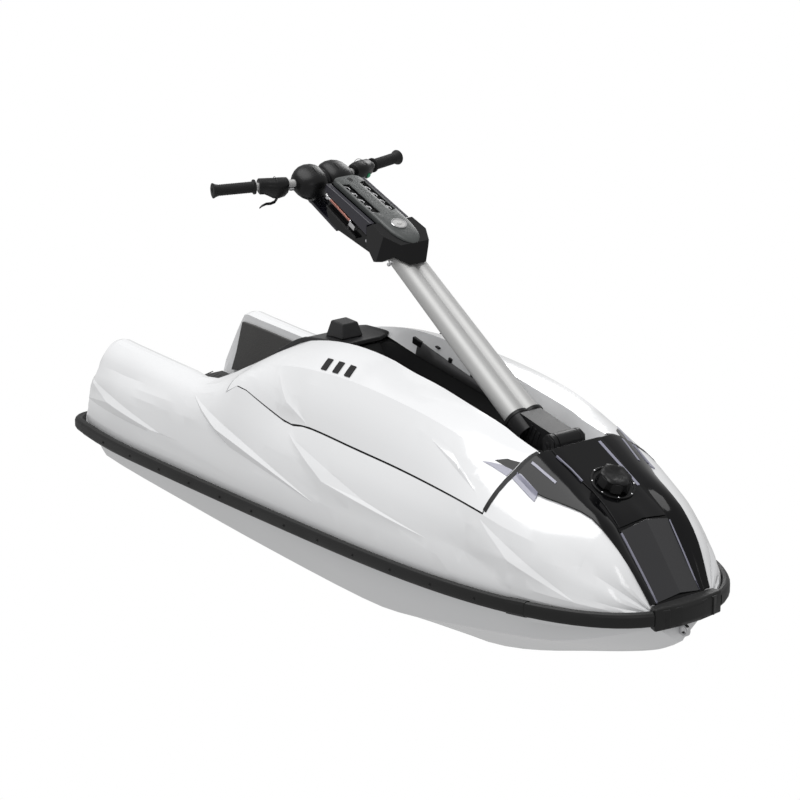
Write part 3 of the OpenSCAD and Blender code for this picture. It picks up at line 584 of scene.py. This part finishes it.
noseGrooveHighlights = [  # raised groove bands in a painted highlight colour, for the grooves' lit sides: half width, height and plan line in mm
    (3.2, 1.6, [(760, -152), (841, -139)]), (3.2, 1.6, [(760, 152), (841, 139)]),
    (1.8, 5.2, [(776, -85), (825, -77), (867, -75)]), (4.2, 5.2, [(766, 66), (922, 66)]),
    (1.0, 5.2, [(1028, -82), (1090, -78), (1157, -73)]),
    (1.0, 5.2, [(1028, 82), (1090, 78), (1157, 73)]),
]
cornerPatches = {  # the lilac corner facets are painted reflections on black gloss, the hood corners plain gloss black; material, then surface, plan corners on one side, and height in mm
    "cornerFacetReflections": (paintedHighlight, [(nose, [(749, 206), (832, 202), (824, 184), (749, 188)], 3.2),
                                 (hoodTop, [(652, 226), (733, 212), (733, 192), (700, 203)], 1.6)]),
    "hoodCorners": (glossBlack, [(hoodTop, [(678, 206), (733, 194), (733, 168), (700, 182)], 1.2)]),
}


def makeNoseHighlightsAndCorners():
    # groove bands in the painted highlight colour, then the corner patches, some of them painted reflections
    parts = [bandOn(nose, line, width, height) for width, height, line in noseGrooveHighlights]
    newPiece("noseGrooveHighlights", *joined(parts), paintedHighlight, "hull", "black_gloss", smooth=40)
    for name, (material, patches) in cornerPatches.items():
        parts = [patchOn(tree, [(x, s * y) for x, y in corners], height)
                 for s in (-1, 1) for tree, corners, height in patches]
        newPiece(name, *joined(parts), material, "hull", "black_gloss", smooth=40)


seamJoint = {"rear": 735.5, "front": 747.5, "from": 116, "to": 290, "steps": 20, "foot": 0.0003,
             "top": 0.0014}


def makeSeamRubber():  # the wide black joint across the hood's front corners
    parts = []
    foot, top = seamJoint["foot"], seamJoint["top"]
    for s in (-1, 1):
        rings = []
        for k in range(seamJoint["steps"] + 1):
            t = k / seamJoint["steps"]
            y = s * (seamJoint["from"] + (seamJoint["to"] - seamJoint["from"]) * t) * mm
            rear, up = dropOn(hoodTop, seamJoint["rear"] * mm, y)
            front, over = dropOn(hoodTop, seamJoint["front"] * mm, y)
            rings.append([rear + up * foot, front + over * foot, front + over * top, rear + up * top])
        parts.append(loft(rings))
    newPiece("seamRubber", *joined(parts), softBlack, "hull", "rail_rubber", smooth=40)


def facing(normal):  # turns local Z to a direction
    return normal.to_track_quat("Z", "Y").to_matrix().to_4x4()


cap = {
    "crown": [(0.0395, 0.036), (0.039, 0.041), (0.036, 0.0435), (0.026, 0.0438), (0.022, 0.042),
              (0.001, 0.0415)],
    "lobes": 6, "lobeDepth": 0.07, "steps": 72, "bolts": 8, "boltRing": 0.0572, "boltHeight": 0.0148,
    "bolt": [(0.0026, 0), (0.0026, 0.0012), (0.0016, 0.002), (0.0002, 0.002)],
}


def makeCap():  # a raised lobed crown with a dished centre, and its bolt ring round the recess
    joint = joints["fuel_cap_turn"]
    place = shift(*joint["pos_m"]) @ facing(Vector(joint["axis"]).normalized())
    crown = []
    for r, h in cap["crown"]:
        radii = [(a, r * (1 - cap["lobeDepth"] * math.cos(cap["lobes"] * a)))
                 for a in around(cap["steps"])]
        crown.append([place @ Vector((out * math.cos(a), out * math.sin(a), h)) for a, out in radii])
    newPiece("capCrown", *loft(crown), satinBlack, "fuel_cap", "black_satin", smooth=40)
    bolts = []
    for a in around(cap["bolts"]):
        a += math.pi / cap["bolts"]
        x, y = cap["boltRing"] * math.cos(a), cap["boltRing"] * math.sin(a)
        bolts.append(turned(cap["bolt"], 12, place @ shift(x, y, cap["boltHeight"])))
    newPiece("neckBolts", *joined(bolts), steel, "hull", "steel", smooth=40)


channelLiner = {"inner": 84, "outer": 114, "lift": 1.6, "from": -60, "edge": [(36, 657), (325, 604)],
                "facing": 0.75, "wall": 0.001}
channelClips = {
    "out": 104, "width": 14, "tilt": 9,
    "places": [  # place, height, length and depth on the wall, in mm: clips, then flat slots
        (-52, 664, 40, 20), (98, 648, 15, 17), (196, 630, 15, 17), (300, 612, 15, 15), (40, 672, 18, 5),
        (244, 640, 18, 5)],
}


def makeLiner():  # dark lining of the channel's side walls, with its clips and slots
    mesh = meshOf("engine_hood")
    bm = bmesh.new()
    bm.from_mesh(mesh)
    bmesh.ops.recalc_face_normals(bm, faces=bm.faces)
    away = []
    for f in bm.faces:
        c = f.calc_center_median()
        inward = -f.normal.y * math.copysign(1, c.y)
        wall = channelLiner["inner"] * mm < abs(c.y) < channelLiner["outer"] * mm
        if not wall or inward <= channelLiner["facing"] or c.x < channelLiner["from"] * mm:
            away.append(f)
    bmesh.ops.delete(bm, geom=away, context="FACES")
    (x0, z0), (x1, z1) = channelLiner["edge"]
    bmesh.ops.bisect_plane(bm, geom=bm.verts[:] + bm.edges[:] + bm.faces[:], clear_outer=True,
                           plane_co=(x0 * mm, 0, z0 * mm), plane_no=(z0 - z1, 0, x1 - x0))
    for v in bm.verts:
        v.co += Vector((0, -math.copysign(channelLiner["lift"] * mm, v.co.y), 0))
    bm.to_mesh(mesh)
    bm.free()
    liner = finishPiece("channelLiner", mesh, linerGrey, "hull", smooth=30)
    thick = liner.modifiers.new("wall", "SOLIDIFY")
    thick.thickness = channelLiner["wall"]
    thick.offset = 0
    clips = []
    for x, z, length, depth in channelClips["places"]:
        for s in (-1, 1):
            at = shift(x * mm, s * channelClips["out"] * mm, z * mm) @ spin(channelClips["tilt"], "Y")
            clips.append(blockAt(at, length * mm, channelClips["width"] * mm, depth * mm))
    newPiece("channelClips", *joined(clips), satinBlack, "hull", "black_satin", smooth=30, bevel=0.002)


railFittings = {
    "screws": 12, "first": -0.972, "pitch": 0.158, "rise": (0.238, 0.037, 0.009),  # height along the rail
    "screw": [(0.0042, -0.001), (0.0042, 0.0008), (0.003, 0.0015), (0.002, 0.0004), (0.0002, 0.0004)],
    "sleeve": (0.868, 0.922), "grow": 0.0018,
}


def makeRailFittings():  # screws along both rails, and a joiner sleeve on each
    rails = surfaceOf("rub_rail_starboard", "rub_rail_port", "stern_cap_starboard", "stern_cap_port")
    level, slope, curve = railFittings["rise"]
    screws = []
    for s in (-1, 1):
        for k in range(railFittings["screws"]):
            x = railFittings["first"] + railFittings["pitch"] * k
            z = level + slope * x + curve * x * x
            hit, normal, _, _ = rails.ray_cast(Vector((x, s, z)), Vector((0, -s, 0)))
            if hit is None:
                continue
            if normal.y * s < 0:
                normal = -normal
            screws.append(turned(railFittings["screw"], 14, shift(*hit) @ facing(normal)))
    newPiece("railScrews", *joined(screws), satinBlack, "hull", "black_satin", smooth=40)
    sleeves = [railSleeve(node, *railFittings["sleeve"])
               for node in ("rub_rail_starboard", "rub_rail_port")]
    newPiece("railSleeves", *joined(sleeves), railRubber, "hull", "rail_rubber", smooth=30, bevel=0.0008)


def railSleeve(node, low, high):  # the rail's own section between two stations, grown a little
    mesh = meshOf(node)
    bm = bmesh.new()
    bm.from_mesh(mesh)
    for x, clear in ((low, -1), (high, 1)):
        geom = bm.verts[:] + bm.edges[:] + bm.faces[:]
        cut = bmesh.ops.bisect_plane(bm, geom=geom, plane_co=(x, 0, 0), plane_no=(clear, 0, 0),
                                     clear_outer=True)
        rim = [e for e in cut["geom_cut"] if isinstance(e, bmesh.types.BMEdge)]
        bmesh.ops.contextual_create(bm, geom=rim)
    bmesh.ops.recalc_face_normals(bm, faces=bm.faces)
    bm.normal_update()
    centre = sum((v.co for v in bm.verts), Vector()) / len(bm.verts)
    for v in bm.verts:
        out = Vector((0, v.co.y - centre.y, v.co.z - centre.z))
        v.co += out.normalized() * railFittings["grow"]
    verts = [v.co.copy() for v in bm.verts]
    bm.verts.index_update()
    faces = [tuple(v.index for v in f.verts) for f in bm.faces]
    bm.free()
    bpy.data.meshes.remove(mesh)
    return verts, faces


bumperClamps = {
    "places": [(84, 22, 0.0135, 0.03), (42, 6, 0.008, 0.02)],  # off centre in mm, turn, inset, width
    "depth": 0.011, "height": 0.05, "bolt": (0.0052, 0, -0.002),
    "head": [(0.0046, -0.002), (0.0046, 0.0004), (0.0026, 0.0006), (0.0022, -0.001), (0.0002, -0.001)],
}


def makeBumperClamps():
    low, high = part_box("bow_bumper")
    clamps, bolts = [], []
    for s in (-1, 1):
        for y, turn, inset, width in bumperClamps["places"]:
            at = shift(high.x - inset, s * y * mm, (low.z + high.z) / 2) @ spin(s * turn, "Z")
            clamps.append(blockAt(at, bumperClamps["depth"], width, bumperClamps["height"]))
            bolt = at @ shift(*bumperClamps["bolt"]) @ spin(90, "Y")
            bolts.append(turned(bumperClamps["head"], 16, bolt))
    newPiece("bumperClamps", *joined(clamps), railRubber, "hull", "rail_rubber", smooth=30, bevel=0.002)
    newPiece("bumperBolts", *joined(bolts), satinBlack, "hull", "black_satin", smooth=40)


matRibs = {"count": 44, "margin": 0.02, "out": 0.086, "turn": 0.35, "sink": 0.0002,
           "size": (0.004, 0.166, 0.0022)}


def makeMatRibs():  # grip ribs across the tray mat
    low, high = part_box("tray_mat")
    run = high.x - low.x - 2 * matRibs["margin"]
    ribs = []
    for k in range(matRibs["count"]):
        x = low.x + matRibs["margin"] + run * k / (matRibs["count"] - 1)
        for s in (-1, 1):
            at = shift(x, s * matRibs["out"], high.z - matRibs["sink"])
            ribs.append(blockAt(at @ Matrix.Rotation(s * matRibs["turn"], 4, "Z"), *matRibs["size"]))
    newPiece("trayRibs", *joined(ribs), matBlack, "hull", "mat_foam", smooth=30, bevel=0.0007,
             segments=1)


makeFrontStrip()
makeCentrePlate()
makeNoseHighlightsAndCorners()
makeSeamRubber()
makeCap()
makeLiner()
makeRailFittings()
makeBumperClamps()
makeMatRibs()

# handle pole

print("handle pole")
pivot = Vector(joints["pole_pivot"]["pos_m"])
stem = Vector(joints["steering"]["pos_m"])
upPole = (stem - pivot).normalized()
squareOff = Vector((upPole.z, 0, -upPole.x))
pole = Matrix.Translation(pivot) @ Matrix((upPole, (0, -1, 0), squareOff)).transposed().to_4x4()
reach = (stem - pivot).length / mm
headEnd = reach - 94


def onPole(x, y, z):
    return pole @ shift(x * mm, y * mm, z * mm)


tubeLine = {"start": (746, 29), "tilt": 7.3, "low": -617, "high": 104, "lobe": (29, 25),
            "apart": (25, 20.5), "sweep": 141, "steps": 24}
turnAcross = Matrix(((0, 0, 1, 0), (1, 0, 0, 0), (0, 1, 0, 0), (0, 0, 0, 1)))
onTube = onPole(tubeLine["start"][0], 0, tubeLine["start"][1]) @ spin(-tubeLine["tilt"], "Y") @ turnAcross


def lobed(r, apart):  # two round lobes that meet in a valley, in metres
    turns = [math.radians(tubeLine["sweep"] * (k / 13 - 1)) for k in range(27)]
    right = [((apart + r * math.cos(a)) * mm, r * math.sin(a) * mm) for a in turns]
    return right + [(-y, z) for y, z in reversed(right)]


def makeTube():  # the tube narrows on its way up
    rings = []
    for k in range(tubeLine["steps"] + 1):
        t = k / tubeLine["steps"]
        r = tubeLine["lobe"][0] * (1 - t) + tubeLine["lobe"][1] * t
        apart = tubeLine["apart"][0] * (1 - t) + tubeLine["apart"][1] * t
        along = (tubeLine["low"] * (1 - t) + tubeLine["high"] * t) * mm
        rings.append([onTube @ Vector((y, z, along)) for y, z in lobed(r, apart)])
    piece = newPiece("poleTube", *loft(rings), anodised, "pole", slotOf["pole_tube"], smooth=35)
    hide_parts("pole_tube")


footDetail = {
    "cover": 0.027, "out": 50.5, "coverThick": 0.0022, "lip": (36.5, 23.5, -0.597, -0.5865),
    "bolt": [(0.009, 0), (0.009, 0.001), (0.007, 0.0022), (0.0002, 0.0024)],
    "ribs": (58, 74, 90), "ribPlace": (35.5, -34), "rib": (0.006, 0.003, 0.05),
}


def makeFootDetail():
    caps, bolts = [], []
    hexagon = [(footDetail["cover"] * math.cos(a), footDetail["cover"] * math.sin(a)) for a in around(6)]
    thick = footDetail["coverThick"]
    for s in (-1, 1):
        at = onPole(0, s * footDetail["out"], 0) @ spin(-s * 90, "X")
        caps.append(prism(hexagon, 0, thick, at))
        bolts.append(turned(footDetail["bolt"], 24, at @ shift(0, 0, thick)))
    newPiece("pivotCovers", *joined(caps), softBlack, "hull", "black_satin", smooth=30, bevel=0.0007)
    newPiece("pivotBolts", *joined(bolts), satinBlack, "hull", "black_satin", smooth=40)
    r, apart, low, high = footDetail["lip"]
    newPiece("bootLip", *prism(lobed(r, apart), low, high, onTube), satinBlack, "pole", "black_satin",
             smooth=40, bevel=0.0015)
    y, z = footDetail["ribPlace"]
    ribs = [blockAt(onPole(x, s * y, z), *footDetail["rib"]) for x in footDetail["ribs"] for s in (-1, 1)]
    newPiece("footRibs", *joined(ribs), satinBlack, "pole", "black_satin", smooth=30, bevel=0.001)


padShape = {
    "stations": [  # along the pole, half width, height of the top
        (739, 9, 101), (745, 19, 103), (756, 29, 105), (775, 38, 106), (800, 43, 105), (830, 45, 104),
        (860, 45, 102), (884, 45, 100), (900, 45, 98.5), (940, 45, 95), (980, 45, 91.5), (1020, 45, 88),
        (1036, 45, 86.5), (1046, 45, 85.5), (1060, 45, 84), (1072, 42, 82), (1083, 36, 78)],
    "across": [-1, -0.95, -0.86, -0.66, -0.4, -0.2, 0, 0.2, 0.4, 0.66, 0.86, 0.95, 1],
    "drop": [17, 5, 1.6, 0.4, 0, 0, 0, 0, 0, 0.4, 1.6, 5, 17],
    "window": (884, 1036), "slant": 14, "slanted": (0.4, 0.66, 0.86), "open": (0.53, 0.76),
    "wall": 0.0035, "edge": 0.0012,
}


def makePad():
    rows, cols = padShape["stations"], padShape["across"]
    first, last = padShape["window"]
    verts = []
    for s, w, h in rows:
        for share, fall in zip(cols, padShape["drop"]):
            slanted = first <= s <= last and abs(share) in padShape["slanted"]
            x = s - (padShape["slant"] * (0.4 - abs(share)) if slanted else 0)
            verts.append(pole @ Vector((x * mm, w * share * mm, (h - fall) * mm)))
    faces = []
    for i, j in ((i, j) for i in range(len(rows) - 1) for j in range(len(cols) - 1)):
        window = first <= rows[i][0] and rows[i + 1][0] <= last
        if window and abs((cols[j] + cols[j + 1]) / 2) in padShape["open"]:
            continue
        a = i * len(cols) + j
        faces.append((a, a + 1, a + 1 + len(cols), a + len(cols)))
    pad = newPiece("headPad", verts, faces, headGrey, "pole", slotOf["head_pad"], smooth=50)
    thick = pad.modifiers.new("wall", "SOLIDIFY")
    thick.thickness = padShape["wall"]
    thick.offset = -1
    soft = pad.modifiers.new("edges", "BEVEL")
    soft.width = padShape["edge"]
    soft.segments = 2
    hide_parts("head_pad")


honeycomb = {
    "cell": 11.5, "cells": 9, "first": 888, "pitch": 17.2, "rows": (33, 24), "wire": 0.0013,
    "across": (17.5, 39.5), "along": (880, 1042), "top": 92, "topFrom": 884, "fall": 0.085,
    "floor": (960, 28, 83), "floorTilt": 4.9, "floorSize": (0.165, 0.026, 0.002),
}


def makeHoneycomb():  # a chain of hexagons in each long window, over a dark tray
    bars, floors = [], []
    (near, far), (first, last) = honeycomb["across"], honeycomb["along"]
    for s in (-1, 1):
        for k in range(honeycomb["cells"]):
            x = honeycomb["first"] + k * honeycomb["pitch"]
            y = s * honeycomb["rows"][k % 2]
            h = honeycomb["top"] - (x - honeycomb["topFrom"]) * honeycomb["fall"]
            ring = [(x + honeycomb["cell"] * math.cos(a), y + honeycomb["cell"] * math.sin(a))
                    for a in around(6)]
            for ends in zip(ring, ring[1:] + ring[:1]):
                if all(near < abs(b) < far and first < a < last for a, b in ends):
                    line = [(a * mm, b * mm, h * mm) for a, b in ends]
                    bars.append(tube(line, honeycomb["wire"], 6, pole))
        x, y, h = honeycomb["floor"]
        floors.append(blockAt(onPole(x, s * y, h) @ spin(honeycomb["floorTilt"], "Y"),
                              *honeycomb["floorSize"]))
    newPiece("honeycomb", *joined(bars), steel, "pole", "black_satin", smooth=40)
    newPiece("honeycombFloor", *joined(floors), softBlack, "pole", "black_satin", smooth=30)


emblem = {
    "place": (822, 104.4), "tilt": 2.5,
    "ring": [(0.023, -0.001), (0.023, 0.0018), (0.02185, 0.0028), (0.01932, 0.0028), (0.0184, 0.0014),
             (0.0184, -0.001)],
    "disc": [(0.0184, 0), (0.0184, 0.0012), (0.0069, 0.0016), (0.00644, 0.003), (0.0023, 0.0036),
             (0.0002, 0.0036)],
}
padSlot = {"place": (1058, 83.6), "tilt": 5, "size": (0.011, 0.0065), "from": -0.001, "to": 0.0012}


def makeEmblem():  # a plain ringed boss, with no mark on it
    x, z = emblem["place"]
    at = onPole(x, 0, z) @ spin(emblem["tilt"], "Y")
    for name, key, material in (("emblemRing", "ring", steel), ("emblemDisc", "disc", anodised)):
        newPiece(name, *turned(emblem[key], 48, at), material, "pole", "steel", smooth=35)
    (x, z), (a, b) = padSlot["place"], padSlot["size"]
    outline = [(a * math.cos(t), b * math.sin(t)) for t in around(32)]
    place = onPole(x, 0, z) @ spin(padSlot["tilt"], "Y")
    newPiece("padSlot", *prism(outline, padSlot["from"], padSlot["to"], place), softBlack, "pole",
             "black_satin", smooth=40, bevel=0.0005)


headDetail = {  # in mm on the pole, apart from the bolt's profile, the rod's radius and the ledge's width
    "bolts": [(744, 62, 42), (750, 62, 30), (831, 50.5, 16), (870, 50.5, 20), (955, 50.5, 12)],
    "bolt": [(0.0052, -0.004), (0.0052, 0.001), (0.0042, 0.0028), (0.0002, 0.0032)],
    "rod": (132, 34, 58, 33), "rodRadius": 0.0043,  # how far before the head's end, then across and up
    "ledge": [(175, 2), (30, 2), (24, 8), (175, 8)], "ledgeOut": 55.5, "ledgeWidth": 0.012,
}


def makeHeadDetail():
    bolts = [turned(headDetail["bolt"], 18, onPole(*place) @ spin(-90, "X"))
             for place in headDetail["bolts"]]
    newPiece("headBolts", *joined(bolts), steel, "pole", "steel", smooth=40)
    *ends, y, z = headDetail["rod"]
    line = [((headEnd - back) * mm, y * mm, z * mm) for back in ends]
    rod = tube(line, headDetail["rodRadius"], 16, pole)
    newPiece("rodSleeve", *rod, rodRed, "pole", "steel", smooth=40)
    outline = [((headEnd - back) * mm, h * mm) for back, h in headDetail["ledge"]]
    ledge = [plate(outline, headDetail["ledgeWidth"], onPole(0, s * headDetail["ledgeOut"], 0))
             for s in (-1, 1)]
    newPiece("trayLedge", *joined(ledge), satinBlack, "pole", "black_satin", smooth=30, bevel=0.0015)


makeTube()
makeFootDetail()
makePad()
makeHoneycomb()
makeEmblem()
makeHeadDetail()

# handlebar

print("handlebar")
barBend = Vector(((reach + 2) * mm, 0.096, 0.004))
barTip = Vector(((reach + 63) * mm, 0.319, -0.024))
barLength = (barTip - barBend).length / mm


def alongBar(s, distance):  # local Z runs out along the bar on side s, starboard positive
    start = Vector((barBend.x, s * barBend.y, barBend.z))
    end = Vector((barTip.x, s * barTip.y, barTip.z))
    out = (end - start).normalized()
    ahead = Vector((0, 0, 1)).cross(out).normalized()
    turn = Matrix((out.cross(ahead).normalized() * -1, ahead, out)).transposed().to_4x4()
    return pole @ Matrix.Translation(start + out * distance * mm) @ turn


cover = {
    "rings": [  # distance from the middle, half length along the pole, half height
        (3, 36, 27), (7, 42, 33), (14, 47.5, 38), (28, 51.5, 42), (46, 52, 43), (62, 49, 40),
        (74, 43, 35), (84, 35, 28), (90, 27, 21), (92, 20, 15)],
    "centre": (1168, 4), "power": 0.72, "steps": 40,
    "valley": (40, 31), "valleyWidth": 0.012,
    "seam": (52.4, 43.2), "seamOut": 0.038, "seamRadius": 0.0012,
}


def makeCover():  # two barrel lobes that meet in a valley
    parts = []
    cx, cz = cover["centre"]
    for s in (-1, 1):
        rings = []
        for y, a, b in cover["rings"]:
            rings.append([pole @ Vector(((cx + a * c) * mm, s * y * mm, (cz + b * d) * mm))
                          for c, d in (blunt(t, cover["power"]) for t in around(cover["steps"]))])
        parts.append(loft(rings))
    a, b = cover["valley"]
    valley = [((cx + a * math.cos(t)) * mm, (cz + b * math.sin(t)) * mm) for t in around(32)]
    parts.append(plate(valley, cover["valleyWidth"], pole))
    piece = newPiece("barCover", *joined(parts), satinBlack, "handlebar", slotOf["bar_cover"], smooth=40)
    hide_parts("bar_cover")
    a, b = cover["seam"]
    arc = [math.pi * (0.1 + 0.8 * k / 16) for k in range(17)]
    seams = [tube([((cx + a * math.cos(t)) * mm, s * cover["seamOut"], (cz + b * math.sin(t)) * mm)
                   for t in arc], cover["seamRadius"], 8, pole) for s in (-1, 1)]
    newPiece("coverSeams", *joined(seams), softBlack, "handlebar", "black_satin", smooth=40)


grip = {  # in mm, with the end's heights taken from the grip's length
    "from": 110, "radius": 15.2, "rib": 0.8, "firstRib": 9, "lastRib": 22, "pitch": 5,
    "flange": [(11.5, 0), (20.5, 0), (21, 1.5), (21, 4.5), (17, 6)],
    "end": [(15.8, 18), (18, 9), (21.2, 3), (21.6, 1), (19.5, 0), (8, 0), (7, 2), (0.5, 2)],
}


def makeGrips():
    length = barLength - grip["from"]
    inner, outer = grip["radius"], grip["radius"] + grip["rib"]
    profile = list(grip["flange"])
    h = grip["firstRib"]
    while h < length - grip["lastRib"]:
        profile += [(inner, h), (outer, h + 0.8), (outer, h + 2.2), (inner, h + 3)]
        h += grip["pitch"]
    profile += [(r, length - back) for r, back in grip["end"]]
    profile = [(r * mm, h * mm) for r, h in profile]
    for s, node in ((1, "grip_starboard"), (-1, "grip_port")):
        piece = newPiece(node + "Ribbed", *turned(profile, 40, alongBar(s, grip["from"])), gripRubber,
                         "handlebar", slotOf[node], smooth=35)
        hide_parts(node)


housings = {  # rings along the bar: distance, half depth down and ahead, and how far each is set off
    "throttle_housing": (1, [
        (14, 15, 15, 0, 0), (17, 21, 20, 3, 2), (26, 26, 23, 7, 3), (42, 29, 24, 9, 3),
        (58, 28, 24, 8, 3), (72, 24, 22, 4, 1), (84, 21, 21, 1, 0), (97, 21, 21, 0, 0),
        (100, 18, 18, 0, 0)]),
    "switch_housing": (-1, [
        (14, 15, 15, 0, 0), (18, 22, 20, 0, -2), (30, 26, 24, 0, -4), (48, 27, 26, 0, -5),
        (66, 26, 25, 0, -4), (80, 22, 22, 0, -1), (92, 21, 21, 0, 0), (95, 18, 18, 0, 0)]),
}
housingSeams = [(1, 50, 30.2, 25, 9), (-1, 56, 28, 26.6, 0)]  # side, distance, half depths, set down
housingPower = 0.75


def aroundBar(place, steps, down, ahead, setDown, setAhead):
    turns = [blunt(a, housingPower) for a in steps]
    return [place @ Vector(((setDown + down * c) * mm, (setAhead + ahead * d) * mm, 0)) for c, d in turns]


def makeHousings():  # rounded bodies clamped on the bar
    for node, (s, stations) in housings.items():
        rings = [aroundBar(alongBar(s, along), around(40), *sizes) for along, *sizes in stations]
        piece = newPiece(node + "Body", *loft(rings), satinBlack, "handlebar", slotOf[node], smooth=40,
                         bevel=0.0012)
        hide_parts(node)
    turns = around(36)
    seams = [tube(aroundBar(alongBar(s, along), turns + [2 * math.pi], down, ahead, off, 0), 0.0008, 6)
             for s, along, down, ahead, off in housingSeams]
    newPiece("housingSeams", *joined(seams), softBlack, "handlebar", "black_satin", smooth=40)


lever = {  # down, ahead, along the bar and half width, in mm
    "place": 42, "thick": 0.55, "lean": 0.4,
    "path": [(20, 6, 0, 7), (38, 12, 3, 6.5), (47, 16, 10, 6), (50, 18, 22, 5.5), (48, 20, 36, 5),
             (52, 22, 48, 4.2), (57, 24, 55, 2.6)],
}


def makeLever():  # a finger lever that hooks out below the throttle
    place = alongBar(1, lever["place"])
    rings = []
    for down, ahead, along, w in lever["path"]:
        rings.append([place @ Vector(((down + lever["thick"] * w * math.cos(a)) * mm,
                                      (ahead + w * math.sin(a)) * mm,
                                      (along + lever["lean"] * w * math.cos(a)) * mm))
                      for a in around(16)])
    piece = newPiece("throttleLever", *loft(rings), satinBlack, "handlebar", slotOf["throttle_lever"],
                     smooth=50)
    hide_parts("throttle_lever")


controls = [  # name, material, slot, steps, side and distance, offset, turn, and profile
    ("startButton", greenLens, "black_satin", 24, (-1, 60), (0.004, -0.0285, 0), (90, "X"),
     [(0.0075, 0), (0.0075, 0.003), (0.006, 0.0045), (0.0002, 0.0048)]),
    ("buttonBezel", satinBlack, "black_satin", 24, (-1, 60), (0.004, -0.027, 0), (90, "X"),
     [(0.011, -0.003), (0.011, 0.002), (0.009, 0.003), (0.0082, 0.001)]),
    ("stopSwitch", satinBlack, "black_satin", 24, (-1, 40), (0.024, 0, 0), (90, "Y"),
     [(0.009, 0), (0.009, 0.006), (0.0075, 0.008), (0.0002, 0.008)]),
    ("cableFitting", steel, "steel", 16, (1, 0), (0.016, 0.004, -0.004), (0, "Z"),
     [(0.0055, 0), (0.0055, 0.012), (0.004, 0.013), (0.004, 0.022), (0.0002, 0.022)]),
]
controlScrews = {
    "places": [(1, 30, 0.0335), (1, 64, 0.0335), (-1, 34, 0.0262), (-1, 74, 0.0238)],
    "ahead": 0.004, "head": [(0.0032, -0.003), (0.0032, 0.0008), (0.002, 0.0014), (0.0002, 0.0014)],
}


def makeControls():
    for name, material, slotName, steps, place, offset, turn, profile in controls:
        at = alongBar(*place) @ shift(*offset) @ spin(*turn)
        newPiece(name, *turned(profile, steps, at), material, "handlebar", slotName, smooth=40)
    screws = [turned(controlScrews["head"], 14,
                     alongBar(s, along) @ shift(out, controlScrews["ahead"], 0) @ spin(90, "Y"))
              for s, along, out in controlScrews["places"]]
    newPiece("controlScrews", *joined(screws), steel, "handlebar", "steel", smooth=40)


makeCover()
makeGrips()
makeHousings()
makeLever()
makeControls()
